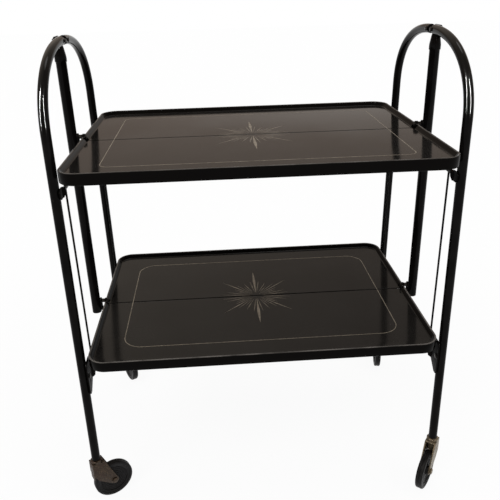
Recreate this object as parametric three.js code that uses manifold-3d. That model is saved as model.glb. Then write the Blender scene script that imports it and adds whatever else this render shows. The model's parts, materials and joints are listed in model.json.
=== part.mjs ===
// Folding serving trolley: two drop-leaf trays between arched tube legs on four swivel casters.
// Millimetres, +Z up, +X along the trays, the front is -Y. Every piece is drawn for the
// quarter with +X and +Y and mirrored into the other quarters.
import * as THREE from 'three';
import { mergeVertices } from 'three/addons/utils/BufferGeometryUtils.js';
import ManifoldModule from 'manifold-3d';

const wasm = await ManifoldModule();
wasm.setup();

// Fits between pieces
const FIT_GAP = 0.3;
const BORE_CLEARANCE = 0.4;
const WELD_BITE = 0.6;
const CUT_MARGIN = 5;

// Legs: one bent tube each, foot to apex
const TRAY_END_TO_LEG_CENTRE = 12.4;
const LEG_DIAMETER = 15.2;
const LEG_SPLAY = 15.2;
const ARCH_RISE = 123;
const ARCH_START_Y = 184.4;
const APEX_Z = 795;
const APEX_END_Y = 3;
const ARCH_ROUNDNESS = 0.87;
const LEG_STEPS = 46;
const LEG_SIDES = 14;
const STRAIGHT_STATIONS = 8;
const ARCH_STATIONS = 18;

// Apex joint: the two legs of one side turn on pins in a folded bracket
const APEX_PIN_Y = 12;
const APEX_PIN_RADIUS = 2.5;
const APEX_HEAD_RADIUS = 4.2;
const APEX_HEAD_HEIGHT = 2;
const APEX_PLATE = 2;
const APEX_BRACKET_HALF_DEPTH = 18;
const APEX_TOP_CLEARANCE = 2.8;
const APEX_LOW_CLEARANCE = 2.5;
const APEX_STRAP_INSET = 8.4;
const APEX_FOOT_INSET = 8.4;
const APEX_PEG_RADIUS = 3;
const APEX_PEG_LENGTH = 11;

// Posts: fixed centre tubes that carry the tray hinges
const POST_OFFSET_X = 6;
const POST_DIAMETER = 17.6;
const POST_WALL = 1.6;
const POST_BOTTOM_DROP = 24;
const POST_CAP_DIAMETER = 19.8;
const POST_CAP_TOP_DIAMETER = 15.6;
const POST_CAP_HEIGHT = 21;
const POST_CAP_SHOULDER = 1;
const POST_CAP_STRAIGHT = 8;
const POST_CAP_ROOF = 3;

// Trays
const TRAY_HALF_LENGTH = 297.6;
const TOP_TRAY_HALF_DEPTH = 228;
const LOWER_TRAY_HALF_DEPTH = 218;
const APEX_TO_TOP_RIM = 160;
const LOWER_RIM_Z = 310;
const TRAY_CORNER_RADIUS = 31;
const TRAY_SKIRT_HEIGHT = 18.7;
const TRAY_SURFACE_DROP = 7.5;
const TRAY_SHEET = 1.6;
const TRAY_SKIRT_WALL = 2.2;
const RIM_WIDTH = 2.8;
const RIM_EASE = 0.7;
const RIM_SLOPE_WIDTH = 6;
const SEAM_GAP = 1;
const SEAM_FLANGE = 1.6;
const SEAM_FLANGE_DEPTH = 8;
const SEAM_FLANGE_END_GAP = 11.6;
const NOTCH_HALF_WIDTH = 11;
const CORNER_SEGMENTS = 9;

// Tray hinge ears and the pins across the gap to the posts
const EAR_RADIUS = 5;
const EAR_PLATE = 2.2;
const EAR_BASE_INNER_Y = 2;
const EAR_BASE_OUTER_Y = 17;
const EAR_SHOULDER_Y = 9;
const SEAM_PIN_RADIUS = 2.5;
const SEAM_HEAD_RADIUS = 4.2;
const SEAM_HEAD_HEIGHT = 1.8;
const SEAM_SPACER_RADIUS = 3.7;
const SEAM_PIN_TAIL = 3;
const SEAM_BRACKET_PLATE = 2.5;
const SEAM_BRACKET_EYE_RADIUS = 6.2;
const SEAM_BRACKET_TIP_RADIUS = 5.6;
const SEAM_BRACKET_DROP = 15;
const SEAM_STUD_RADIUS = 2;
const SEAM_STUD_HEAD_RADIUS = 3.6;
const SEAM_STUD_HEAD_HEIGHT = 1.2;

// Lugs under the tray ends, their pins and the link rods between the trays
const LUG_Y = 160;
const LUG_DROP = 33;
const LUG_RADIUS = 5;
const LUG_PLATE = 2.4;
const LUG_TOP_HALF_WIDTH = 9;
const LUG_TOP_DROP = 15;
const LUG_BITE = 0.1;
const LUG_PIN_RADIUS = 2;
const LUG_PIN_TIP = 0.1;
const ROD_RADIUS = 1.7;
const ROD_EYE_RADIUS = 5;
const ROD_SIDE_GAP = 0.7;

// Leg brackets: joggled plates on the legs whose saddles hold the lug pins
const SADDLE_CLEARANCE = 0.6;
const BRACKET_PLATE = 2.2;
const BRACKET_INSET = 1.8;
const BRACKET_TIP_REACH = 6;
const BRACKET_JOG = 3;
const BRACKET_FLANGE_HALF_WIDTH = 8;
const BRACKET_TOP_DROP = 1;
const BRACKET_HEIGHT = 17;
const BRACKET_ARM_HEIGHT = 6.5;
const BRACKET_ARM_FLARE = 3;
const BRACKET_CORNER = 5;
const BRACKET_STUD_LENGTH = 5;
const BRACKET_STUD_RADIUS = 2;
const GUSSET_HEIGHT = 64;
const GUSSET_HEEL_RISE = 23;
const GUSSET_HEEL_DEPTH = 24;
const GUSSET_THROAT_RISE = 4;
const GUSSET_THROAT_DEPTH = 18.5;
const GUSSET_SHELF_DEPTH = 14;
const GUSSET_TIP_HEIGHT = 9;
const GUSSET_RIVET_DROP = 6;
const GUSSET_LOW_HALF_WIDTH = 4;
const RIVET_HEAD_RADIUS = 4.4;
const RIVET_HEAD_HEIGHT = 2.2;
const RIVET_RADIUS = 2;
const RIVET_LENGTH = 7;

// Casters
const WHEEL_RADIUS = 36;
const WHEEL_WIDTH = 12.6;
const WHEEL_EASE = 2;
const TYRE_DEPTH = 6;
const TYRE_STEP_DEPTH = 1.2;
const DISC_STEP_WIDTH = 4;
const DISC_DEPTH = 3;
const HUB_RADIUS = 8;
const HUB_WIDTH = 14.4;
const TREAD_GROOVE_WIDTH = 2;
const TREAD_GROOVE_DEPTH = 1;
const WHEEL_SEGMENTS = 26;
const CASTER_TRAIL = 26;
const AXLE_RADIUS = 3;
const AXLE_NUT_RADIUS = 5.6;
const AXLE_NUT_HEIGHT = 3.2;
const AXLE_HEAD_RADIUS = 5.2;
const AXLE_HEAD_HEIGHT = 2;
const FORK_PLATE = 2.2;
const FORK_SIDE_CLEARANCE = 0.5;
const FORK_EYE_RADIUS = 7.2;
const FORK_CROWN_FRONT = 11;
const FORK_CROWN_BACK = 12;
const FORK_CROWN_THICKNESS = 3;
const FORK_BACK_DROP = 25;
const FORK_BELLY_INSET = 8;
const FORK_BELLY_DROP = 39;
const CROWN_HEAD_ROOM = 13.6;
const COLLAR_RADIUS = 10.6;
const COLLAR_HEIGHT = 4.6;
const COLLAR_EASE = 1.2;
const COLLAR_LEG_GAP = 0.5;
const STEM_RADIUS = 4;
const STEM_LENGTH = 24;
const KING_PIN_RADIUS = 3.4;
const KING_HEAD_RADIUS = 6;
const KING_HEAD_HEIGHT = 2.4;
const ROUND_SEGMENTS = 16;
const PIN_SEGMENTS = 12;

// Rest directions of the casters, degrees from +X
const CASTER_REST_DEGREES = { left_front: 30, right_front: -128, left_rear: -62, right_rear: -100 };

// Looks of the materials: colour, roughness, metalness
const ENAMEL = { color: 0x141210, roughness: 0.22, metalness: 0.1 };
const TRAY_ENAMEL = { color: 0x1b1714, roughness: 0.18, metalness: 0.1 };
const STEEL = { color: 0x3a3632, roughness: 0.4, metalness: 0.8 };
const BRASS = { color: 0x8a6a3c, roughness: 0.45, metalness: 0.85 };
const RUBBER = { color: 0x1c1b1a, roughness: 0.7, metalness: 0 };

// Values that follow from the ones above
const LEG_RADIUS = LEG_DIAMETER / 2;
const LEG_PLANE_X = TRAY_HALF_LENGTH + TRAY_END_TO_LEG_CENTRE;
const POST_PLANE_X = LEG_PLANE_X + POST_OFFSET_X;
const LEG_FOOT_Y = ARCH_START_Y + LEG_SPLAY;
const ARCH_START_Z = APEX_Z - ARCH_RISE;
const TOP_RIM_Z = APEX_Z - APEX_TO_TOP_RIM;
const POST_BOTTOM_Z = LOWER_RIM_Z - POST_BOTTOM_DROP;
const LEG_INNER_X = LEG_PLANE_X - LEG_RADIUS;
const POST_RADIUS = POST_DIAMETER / 2;
const POST_INNER_X = POST_PLANE_X - POST_RADIUS;
const SEAM_PLATE_OUTER_X = POST_INNER_X - FIT_GAP;
const SEAM_PLATE_INNER_X = SEAM_PLATE_OUTER_X - SEAM_BRACKET_PLATE;
const REAR_EAR_OUTER_X = TRAY_HALF_LENGTH - EAR_PLATE - FIT_GAP;
const SEAM_HEAD_OUTER_X = REAR_EAR_OUTER_X - EAR_PLATE - FIT_GAP;
const SKIRT_INNER_X = TRAY_HALF_LENGTH - TRAY_SKIRT_WALL;
const SEAM_FLANGE_HALF_LENGTH = TRAY_HALF_LENGTH - SEAM_FLANGE_END_GAP;
const ROD_INNER_X = TRAY_HALF_LENGTH + ROD_SIDE_GAP;
const ROD_CENTRE_X = ROD_INNER_X + ROD_RADIUS;
const LUG_PIN_TIP_X = ROD_INNER_X + ROD_RADIUS * 2 + LUG_PIN_TIP;
const FLANGE_OUTER_X = LEG_INNER_X - FIT_GAP;
const FLANGE_INNER_X = FLANGE_OUTER_X - BRACKET_PLATE;
const BRACKET_INNER_X = TRAY_HALF_LENGTH - BRACKET_INSET;
const BRACKET_OUTER_X = BRACKET_INNER_X + BRACKET_PLATE;
const BRACKET_TIP_Y = LUG_Y - BRACKET_TIP_REACH;
const APEX_UNDER_Z = APEX_Z - LEG_RADIUS - APEX_LOW_CLEARANCE;
const APEX_FOOT_Z = APEX_UNDER_Z - APEX_PLATE;
const APEX_STRAP_Z = APEX_Z + LEG_RADIUS + APEX_TOP_CLEARANCE;
const APEX_CHEEK_X = LEG_PLANE_X + LEG_RADIUS + FIT_GAP;
const APEX_OUTER_X = APEX_CHEEK_X + APEX_PLATE;
const APEX_STRAP_INNER_X = LEG_PLANE_X - APEX_STRAP_INSET;
const APEX_FOOT_INNER_X = POST_PLANE_X - APEX_FOOT_INSET;
const POST_TOP_Z = APEX_FOOT_Z - FIT_GAP;
const TYRE_STEP_RADIUS = WHEEL_RADIUS - TYRE_DEPTH;
const DISC_RADIUS = TYRE_STEP_RADIUS - DISC_STEP_WIDTH;
const CROWN_UNDER_Z = WHEEL_RADIUS * 2 + CROWN_HEAD_ROOM;
const CROWN_TOP_Z = CROWN_UNDER_Z + FORK_CROWN_THICKNESS;
const COLLAR_TOP_Z = CROWN_TOP_Z + FIT_GAP + COLLAR_HEIGHT;
const LEG_FOOT_Z = COLLAR_TOP_Z + COLLAR_LEG_GAP;
const FORK_INNER_V = HUB_WIDTH / 2 + FORK_SIDE_CLEARANCE;
const FORK_OUTER_V = FORK_INNER_V + FORK_PLATE;

const X_AXIS = new THREE.Vector3(1, 0, 0);
const Y_AXIS = new THREE.Vector3(0, 1, 0);
const Z_AXIS = new THREE.Vector3(0, 0, 1);

// The straight part of a leg leans outward towards the floor.
function legY(z) {
  const share = (z - LEG_FOOT_Z) / (ARCH_START_Z - LEG_FOOT_Z);
  return LEG_FOOT_Y + (ARCH_START_Y - LEG_FOOT_Y) * share;
}

function toSolid(geometry) {
  const bare = geometry.clone();
  bare.deleteAttribute('normal');
  bare.deleteAttribute('uv');
  const merged = mergeVertices(bare);
  const mesh = new wasm.Mesh({
    numProp: 3,
    vertProperties: new Float32Array(merged.attributes.position.array),
    triVerts: new Uint32Array(merged.index.array),
  });
  return new wasm.Manifold(mesh);
}

function toGeometry(solid) {
  const mesh = solid.getMesh();
  const geometry = new THREE.BufferGeometry();
  geometry.setAttribute('position', new THREE.BufferAttribute(new Float32Array(mesh.vertProperties), 3));
  geometry.setIndex(Array.from(mesh.triVerts));
  return geometry;
}

// Joins the added geometries and cuts the others away.
function carve(added, cuts = []) {
  let solid = toSolid(added[0]);
  for (const piece of added.slice(1)) {
    solid = solid.add(toSolid(piece));
  }
  for (const cut of cuts) {
    solid = solid.subtract(toSolid(cut));
  }
  return toGeometry(solid);
}

function box(x0, x1, y0, y1, z0, z1) {
  const geometry = new THREE.BoxGeometry(x1 - x0, y1 - y0, z1 - z0);
  geometry.translate((x0 + x1) / 2, (y0 + y1) / 2, (z0 + z1) / 2);
  return geometry;
}

// A round peg along X.
function pegX(radius, x0, x1, y, z, segments = PIN_SEGMENTS) {
  const geometry = new THREE.CylinderGeometry(radius, radius, x1 - x0, segments);
  geometry.rotateZ(-Math.PI / 2);
  geometry.translate((x0 + x1) / 2, y, z);
  return geometry;
}

// A turned pin along X from a table of [x, radius] stations.
function turnedX(stations, y, z, segments = PIN_SEGMENTS) {
  const profile = stations.map(([x, radius]) => new THREE.Vector2(radius, x));
  const geometry = new THREE.LatheGeometry(profile, segments);
  geometry.applyMatrix4(new THREE.Matrix4().makeBasis(Y_AXIS, X_AXIS, Z_AXIS.clone().negate()));
  geometry.translate(0, y, z);
  return geometry;
}

function outlineShape(points) {
  return new THREE.Shape(points.map(([a, b]) => new THREE.Vector2(a, b)));
}

// A plate whose outline is drawn as [y, z] and which is thick along X.
function plateX(points, x0, x1) {
  const geometry = new THREE.ExtrudeGeometry(outlineShape(points), { depth: x1 - x0, bevelEnabled: false });
  geometry.applyMatrix4(new THREE.Matrix4().makeBasis(Y_AXIS, Z_AXIS, X_AXIS));
  geometry.translate(x0, 0, 0);
  return geometry;
}

// A plate whose outline is drawn as [x, z] and which is thick along Y.
function plateY(points, y0, y1) {
  const geometry = new THREE.ExtrudeGeometry(outlineShape(points), { depth: y1 - y0, bevelEnabled: false });
  geometry.rotateX(Math.PI / 2);
  geometry.translate(0, y1, 0);
  return geometry;
}

// A bar whose outline is drawn as [x, y] and which is long along Z.
function barZ(points, z0, z1) {
  const geometry = new THREE.ExtrudeGeometry(outlineShape(points), { depth: z1 - z0, bevelEnabled: false });
  geometry.translate(0, 0, z0);
  return geometry;
}

function circlePoints(a, b, radius, count = ROUND_SEGMENTS) {
  const points = [];
  for (let i = 0; i < count; i += 1) {
    const angle = (i / count) * Math.PI * 2;
    points.push([a + radius * Math.cos(angle), b + radius * Math.sin(angle)]);
  }
  return points;
}

// The outline that a band stretched round all the points would take.
function stretched(points) {
  const sorted = points.slice().sort((p, q) => p[0] - q[0] || p[1] - q[1]);
  const turn = (o, p, q) => (p[0] - o[0]) * (q[1] - o[1]) - (p[1] - o[1]) * (q[0] - o[0]);
  const chain = (list) => {
    const kept = [];
    for (const point of list) {
      while (kept.length > 1 && turn(kept[kept.length - 2], kept[kept.length - 1], point) <= 0) {
        kept.pop();
      }
      kept.push(point);
    }
    kept.pop();
    return kept;
  };
  return chain(sorted).concat(chain(sorted.slice().reverse()));
}

// A closed skin over a stack of rings with equally many points, closed by flat ends.
function stackedRings(rings) {
  const count = rings[0].length;
  const positions = rings.flat().flatMap((point) => point);
  const index = [];
  for (let r = 0; r < rings.length - 1; r += 1) {
    for (let i = 0; i < count; i += 1) {
      const j = (i + 1) % count;
      const a = r * count + i;
      const b = r * count + j;
      index.push(a, a + count, b, b, a + count, b + count);
    }
  }
  const last = (rings.length - 1) * count;
  for (let i = 1; i < count - 1; i += 1) {
    index.push(0, i, i + 1);
    index.push(last, last + i + 1, last + i);
  }
  const geometry = new THREE.BufferGeometry();
  geometry.setAttribute('position', new THREE.Float32BufferAttribute(positions, 3));
  geometry.setIndex(index);
  return geometry;
}

function trayRing(halfDepth, inset, z) {
  const halfLength = TRAY_HALF_LENGTH - inset;
  const depth = halfDepth - inset;
  const radius = TRAY_CORNER_RADIUS - inset;
  const ring = [];
  for (const [sx, sy, start] of [[1, 1, 0], [-1, 1, 1], [-1, -1, 2], [1, -1, 3]]) {
    for (let i = 0; i <= CORNER_SEGMENTS; i += 1) {
      const angle = (start + i / CORNER_SEGMENTS) * (Math.PI / 2);
      const x = sx * (halfLength - radius) + radius * Math.cos(angle);
      const y = sy * (depth - radius) + radius * Math.sin(angle);
      ring.push([x, y, z]);
    }
  }
  return ring;
}

// A hinge ear: an eye round the seam axis with a foot on the tray end. Its shoulder falls below the
// rim where the folded halves meet rim to rim.
function ear(outerX, rimZ) {
  const footZ = rimZ - TRAY_SURFACE_DROP - WELD_BITE;
  const points = circlePoints(0, rimZ, EAR_RADIUS);
  points.push([EAR_BASE_INNER_Y, footZ], [EAR_BASE_OUTER_Y, footZ]);
  points.push([EAR_SHOULDER_Y, rimZ - RIM_EASE]);
  return plateX(stretched(points), outerX - EAR_PLATE, outerX);
}

function mirroredX(geometry) {
  const copy = geometry.clone();
  copy.scale(-1, 1, 1);
  return turnedOut(copy);
}

// Turns the faces round again after a mirror.
function turnedOut(geometry) {
  const flipped = geometry.index ? geometry : mergeVertices(geometry);
  const index = flipped.index.array;
  for (let i = 0; i < index.length; i += 3) {
    const held = index[i];
    index[i] = index[i + 1];
    index[i + 1] = held;
  }
  return flipped;
}

// One tray half with +Y, with its ears, lugs and lug pins at both ends.
function trayHalf(halfDepth, rimZ, earOuterX) {
  const surfaceZ = rimZ - TRAY_SURFACE_DROP;
  const skirtZ = rimZ - TRAY_SKIRT_HEIGHT;
  const sheetZ = surfaceZ - TRAY_SHEET;
  const pan = stackedRings([
    trayRing(halfDepth, RIM_WIDTH + RIM_SLOPE_WIDTH, surfaceZ),
    trayRing(halfDepth, RIM_WIDTH, rimZ - RIM_EASE),
    trayRing(halfDepth, RIM_WIDTH - RIM_EASE, rimZ),
    trayRing(halfDepth, RIM_EASE, rimZ),
    trayRing(halfDepth, 0, rimZ - RIM_EASE),
    trayRing(halfDepth, 0, skirtZ),
    trayRing(halfDepth, TRAY_SKIRT_WALL, skirtZ),
    trayRing(halfDepth, TRAY_SKIRT_WALL, sheetZ),
  ]);
  const slopeX = TRAY_HALF_LENGTH - RIM_WIDTH - RIM_SLOPE_WIDTH;
  const seamY = SEAM_GAP / 2;
  const wide = TRAY_HALF_LENGTH + CUT_MARGIN;
  const otherHalf = box(-wide, wide, -halfDepth - CUT_MARGIN, seamY, skirtZ - CUT_MARGIN, rimZ + CUT_MARGIN);
  const notch = box(slopeX - FIT_GAP, wide, -CUT_MARGIN, NOTCH_HALF_WIDTH, surfaceZ, rimZ + CUT_MARGIN);
  const half = carve([pan], [otherHalf, notch, mirroredX(notch)]);
  const flangeZ = sheetZ - SEAM_FLANGE_DEPTH;
  const flange = box(
    -SEAM_FLANGE_HALF_LENGTH,
    SEAM_FLANGE_HALF_LENGTH,
    seamY,
    seamY + SEAM_FLANGE,
    flangeZ,
    sheetZ + WELD_BITE,
  );
  const lugZ = rimZ - LUG_DROP;
  const lugTopZ = rimZ - LUG_TOP_DROP;
  const lugOutline = circlePoints(LUG_Y, lugZ, LUG_RADIUS);
  lugOutline.push([LUG_Y - LUG_TOP_HALF_WIDTH, lugTopZ], [LUG_Y + LUG_TOP_HALF_WIDTH, lugTopZ]);
  const lugOuterX = SKIRT_INNER_X + LUG_BITE;
  const lugInnerX = lugOuterX - LUG_PLATE;
  const lug = plateX(stretched(lugOutline), lugInnerX, lugOuterX);
  const lugPin = pegX(LUG_PIN_RADIUS, lugInnerX + WELD_BITE, LUG_PIN_TIP_X, LUG_Y, lugZ);
  const tab = ear(earOuterX, rimZ);
  const added = [half, flange];
  for (const piece of [tab, lug, lugPin]) {
    added.push(piece, mirroredX(piece));
  }
  const bore = pegX(SEAM_PIN_RADIUS + BORE_CLEARANCE, slopeX, wide, 0, rimZ);
  return carve(added, [bore, mirroredX(bore)]);
}

function leg() {
  const points = [];
  for (let i = 0; i < STRAIGHT_STATIONS; i += 1) {
    const z = LEG_FOOT_Z + ((ARCH_START_Z - LEG_FOOT_Z) * i) / STRAIGHT_STATIONS;
    points.push(new THREE.Vector3(LEG_PLANE_X, legY(z), z));
  }
  const rise = APEX_Z - ARCH_START_Z;
  const lastShare = Math.pow(APEX_END_Y / ARCH_START_Y, 1 / ARCH_ROUNDNESS);
  const lastAngle = Math.acos(lastShare);
  for (let i = 0; i <= ARCH_STATIONS; i += 1) {
    const angle = (lastAngle * i) / ARCH_STATIONS;
    const y = ARCH_START_Y * Math.pow(Math.cos(angle), ARCH_ROUNDNESS);
    const z = ARCH_START_Z + rise * Math.pow(Math.sin(angle), ARCH_ROUNDNESS);
    points.push(new THREE.Vector3(LEG_PLANE_X, y, z));
  }
  const path = new THREE.CatmullRomCurve3(points, false, 'centripetal');
  const section = outlineShape(circlePoints(0, 0, LEG_RADIUS, LEG_SIDES));
  const tube = new THREE.ExtrudeGeometry(section, { steps: LEG_STEPS, bevelEnabled: false, extrudePath: path });
  const pivotBore = pegX(
    APEX_PIN_RADIUS + BORE_CLEARANCE,
    LEG_INNER_X - CUT_MARGIN,
    LEG_PLANE_X + LEG_RADIUS + CUT_MARGIN,
    APEX_PIN_Y,
    APEX_Z,
  );
  const stemRadius = STEM_RADIUS + BORE_CLEARANCE;
  const stemTop = LEG_FOOT_Z + STEM_LENGTH + FIT_GAP;
  const stemBore = barZ(
    circlePoints(LEG_PLANE_X, LEG_FOOT_Y, stemRadius),
    LEG_FOOT_Z - CUT_MARGIN,
    stemTop,
  );
  const studX = LEG_INNER_X - CUT_MARGIN;
  const studEnd = FLANGE_OUTER_X + BRACKET_STUD_LENGTH + FIT_GAP;
  const studBore = pegX(BRACKET_STUD_RADIUS + FIT_GAP, studX, studEnd, legY(bracketStudZ()), bracketStudZ());
  const rivetEnd = FLANGE_INNER_X + RIVET_LENGTH + FIT_GAP;
  const rivetBore = pegX(RIVET_RADIUS + FIT_GAP, studX, rivetEnd, legY(gussetRivetZ()), gussetRivetZ());
  return carve([tube], [pivotBore, stemBore, studBore, rivetBore]);
}

function bracketTopZ() {
  return TOP_RIM_Z - LUG_DROP - BRACKET_TOP_DROP;
}

function bracketStudZ() {
  return bracketTopZ() - BRACKET_HEIGHT / 2;
}

function gussetShelfZ() {
  return LOWER_RIM_Z - LUG_DROP - BRACKET_TOP_DROP;
}

function gussetRivetZ() {
  return gussetShelfZ() - GUSSET_RIVET_DROP;
}

// Plan of a joggled plate: a web under the tray end and a flange on the leg.
function joggledPlan(webY, outerY) {
  const jogY = webY + BRACKET_JOG;
  return [
    [BRACKET_INNER_X, BRACKET_TIP_Y],
    [BRACKET_OUTER_X, BRACKET_TIP_Y],
    [BRACKET_OUTER_X, webY],
    [FLANGE_OUTER_X, jogY],
    [FLANGE_OUTER_X, outerY],
    [FLANGE_INNER_X, outerY],
    [FLANGE_INNER_X, jogY + BRACKET_PLATE / 2],
    [BRACKET_INNER_X, webY + BRACKET_PLATE / 2],
  ];
}

function saddleCut(rimZ) {
  const radius = LUG_PIN_RADIUS + SADDLE_CLEARANCE;
  const x0 = BRACKET_INNER_X - CUT_MARGIN;
  return pegX(radius, x0, FLANGE_OUTER_X + CUT_MARGIN, LUG_Y, rimZ - LUG_DROP, ROUND_SEGMENTS);
}

function trimmed(plan, profile, z0, z1) {
  const bar = toSolid(barZ(plan, z0, z1));
  const side = toSolid(plateX(profile, BRACKET_INNER_X - CUT_MARGIN, FLANGE_OUTER_X + CUT_MARGIN));
  return toGeometry(bar.intersect(side));
}

function legBracket() {
  const top = bracketTopZ();
  const bottom = top - BRACKET_HEIGHT;
  const flangeY = legY(bracketStudZ());
  const innerY = flangeY - BRACKET_FLANGE_HALF_WIDTH;
  const outerY = flangeY + BRACKET_FLANGE_HALF_WIDTH;
  const armZ = top - BRACKET_ARM_HEIGHT;
  const profile = [
    [BRACKET_TIP_Y, top],
    [outerY - BRACKET_CORNER, top],
    [outerY, top - BRACKET_CORNER],
    [outerY, bottom + BRACKET_CORNER],
    [outerY - BRACKET_CORNER, bottom],
    [innerY, bottom],
    [innerY - BRACKET_ARM_FLARE, armZ],
    [BRACKET_TIP_Y, armZ],
  ];
  const body = trimmed(joggledPlan(innerY - BRACKET_JOG, outerY), profile, bottom, top);
  const studStart = FLANGE_OUTER_X - WELD_BITE;
  const studEnd = FLANGE_OUTER_X + BRACKET_STUD_LENGTH;
  const stud = pegX(BRACKET_STUD_RADIUS, studStart, studEnd, flangeY, bracketStudZ());
  return carve([body, stud], [saddleCut(TOP_RIM_Z)]);
}

function gusset() {
  const shelf = gussetShelfZ();
  const heel = shelf + GUSSET_HEEL_RISE;
  const bottom = heel - GUSSET_HEIGHT;
  const flangeY = legY(gussetRivetZ());
  const outerY = flangeY + BRACKET_FLANGE_HALF_WIDTH;
  const webY = BRACKET_TIP_Y + GUSSET_SHELF_DEPTH;
  const profile = [
    [BRACKET_TIP_Y, shelf],
    [webY, shelf],
    [BRACKET_TIP_Y + GUSSET_THROAT_DEPTH, shelf + GUSSET_THROAT_RISE],
    [BRACKET_TIP_Y + GUSSET_HEEL_DEPTH, heel],
    [outerY - BRACKET_CORNER, heel],
    [outerY, heel - BRACKET_CORNER],
    [outerY, bottom + BRACKET_CORNER],
    [outerY - BRACKET_CORNER, bottom],
    [flangeY - GUSSET_LOW_HALF_WIDTH, bottom],
    [BRACKET_TIP_Y, shelf - GUSSET_TIP_HEIGHT],
  ];
  const body = trimmed(joggledPlan(webY, outerY), profile, bottom, heel);
  const holeStart = FLANGE_INNER_X - CUT_MARGIN;
  const holeEnd = FLANGE_OUTER_X + CUT_MARGIN;
  const hole = pegX(RIVET_RADIUS + FIT_GAP, holeStart, holeEnd, flangeY, gussetRivetZ());
  return carve([body], [saddleCut(LOWER_RIM_Z), hole]);
}

function gussetRivet() {
  const headX = FLANGE_INNER_X - FIT_GAP;
  const domeX = headX - RIVET_HEAD_HEIGHT;
  const shoulderX = headX - RIVET_HEAD_HEIGHT / 2;
  const endX = FLANGE_INNER_X + RIVET_LENGTH;
  return turnedX(
    [
      [domeX, 0],
      [domeX, RIVET_RADIUS],
      [shoulderX, RIVET_HEAD_RADIUS],
      [headX, RIVET_HEAD_RADIUS],
      [headX, RIVET_RADIUS],
      [endX, RIVET_RADIUS],
      [endX, 0],
    ],
    legY(gussetRivetZ()),
    gussetRivetZ(),
  );
}

function linkRod() {
  const lowZ = LOWER_RIM_Z - LUG_DROP;
  const highZ = TOP_RIM_Z - LUG_DROP;
  const outerX = ROD_INNER_X + ROD_RADIUS * 2;
  const shank = barZ(circlePoints(ROD_CENTRE_X, LUG_Y, ROD_RADIUS, PIN_SEGMENTS), lowZ, highZ);
  const added = [shank];
  const cuts = [];
  for (const z of [lowZ, highZ]) {
    added.push(pegX(ROD_EYE_RADIUS, ROD_INNER_X, outerX, LUG_Y, z, ROUND_SEGMENTS));
    cuts.push(pegX(LUG_PIN_RADIUS + BORE_CLEARANCE, ROD_INNER_X - CUT_MARGIN, outerX + CUT_MARGIN, LUG_Y, z));
  }
  return carve(added, cuts);
}

function post() {
  const outer = POST_RADIUS;
  const inner = outer - POST_WALL;
  const cap = POST_CAP_DIAMETER / 2;
  const capTop = POST_CAP_TOP_DIAMETER / 2;
  const capZ = POST_TOP_Z - POST_CAP_HEIGHT;
  const pegRadius = APEX_PEG_RADIUS + BORE_CLEARANCE;
  const pegZ = POST_TOP_Z - APEX_PEG_LENGTH - FIT_GAP;
  const profile = [
    [0, pegZ],
    [pegRadius, pegZ],
    [pegRadius, POST_TOP_Z],
    [capTop, POST_TOP_Z],
    [cap, POST_TOP_Z - POST_CAP_HEIGHT + POST_CAP_STRAIGHT],
    [cap, capZ],
    [outer, capZ - POST_CAP_SHOULDER],
    [outer, POST_BOTTOM_Z],
    [inner, POST_BOTTOM_Z],
    [inner, pegZ - POST_CAP_ROOF],
    [0, pegZ - POST_CAP_ROOF],
  ].map(([radius, z]) => new THREE.Vector2(radius, z));
  const tube = new THREE.LatheGeometry(profile.reverse(), ROUND_SEGMENTS);
  tube.rotateX(Math.PI / 2);
  tube.translate(POST_PLANE_X, 0, 0);
  const cuts = [];
  for (const rimZ of [TOP_RIM_Z, LOWER_RIM_Z]) {
    const start = POST_INNER_X - CUT_MARGIN;
    cuts.push(pegX(SEAM_PIN_RADIUS + FIT_GAP, start, POST_PLANE_X, 0, rimZ));
    cuts.push(pegX(SEAM_STUD_RADIUS + FIT_GAP, start, POST_PLANE_X, 0, rimZ - SEAM_BRACKET_DROP));
  }
  return carve([tube], cuts);
}

function seamBracket(rimZ) {
  const studZ = rimZ - SEAM_BRACKET_DROP;
  const points = circlePoints(0, rimZ, SEAM_BRACKET_EYE_RADIUS);
  points.push(...circlePoints(0, studZ, SEAM_BRACKET_TIP_RADIUS));
  const plate = plateX(stretched(points), SEAM_PLATE_INNER_X, SEAM_PLATE_OUTER_X);
  const headX = SEAM_PLATE_INNER_X - SEAM_STUD_HEAD_HEIGHT;
  const head = pegX(SEAM_STUD_HEAD_RADIUS, headX, SEAM_PLATE_INNER_X + WELD_BITE, 0, studZ);
  const studEnd = POST_INNER_X + SEAM_PIN_TAIL;
  const stud = pegX(SEAM_STUD_RADIUS, SEAM_PLATE_INNER_X, studEnd, 0, studZ);
  const holeStart = SEAM_PLATE_INNER_X - CUT_MARGIN;
  const hole = pegX(SEAM_PIN_RADIUS + FIT_GAP, holeStart, POST_PLANE_X, 0, rimZ);
  return carve([plate, head, stud], [hole]);
}

function seamPin(rimZ) {
  const headX = SEAM_HEAD_OUTER_X - SEAM_HEAD_HEIGHT;
  const spacerX = TRAY_HALF_LENGTH + FIT_GAP;
  const spacerEnd = SEAM_PLATE_INNER_X - FIT_GAP;
  const endX = POST_INNER_X + SEAM_PIN_TAIL;
  return turnedX(
    [
      [headX, 0],
      [headX, SEAM_HEAD_RADIUS],
      [SEAM_HEAD_OUTER_X, SEAM_HEAD_RADIUS],
      [SEAM_HEAD_OUTER_X, SEAM_PIN_RADIUS],
      [spacerX, SEAM_PIN_RADIUS],
      [spacerX, SEAM_SPACER_RADIUS],
      [spacerEnd, SEAM_SPACER_RADIUS],
      [spacerEnd, SEAM_PIN_RADIUS],
      [endX, SEAM_PIN_RADIUS],
      [endX, 0],
    ],
    0,
    rimZ,
  );
}

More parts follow.
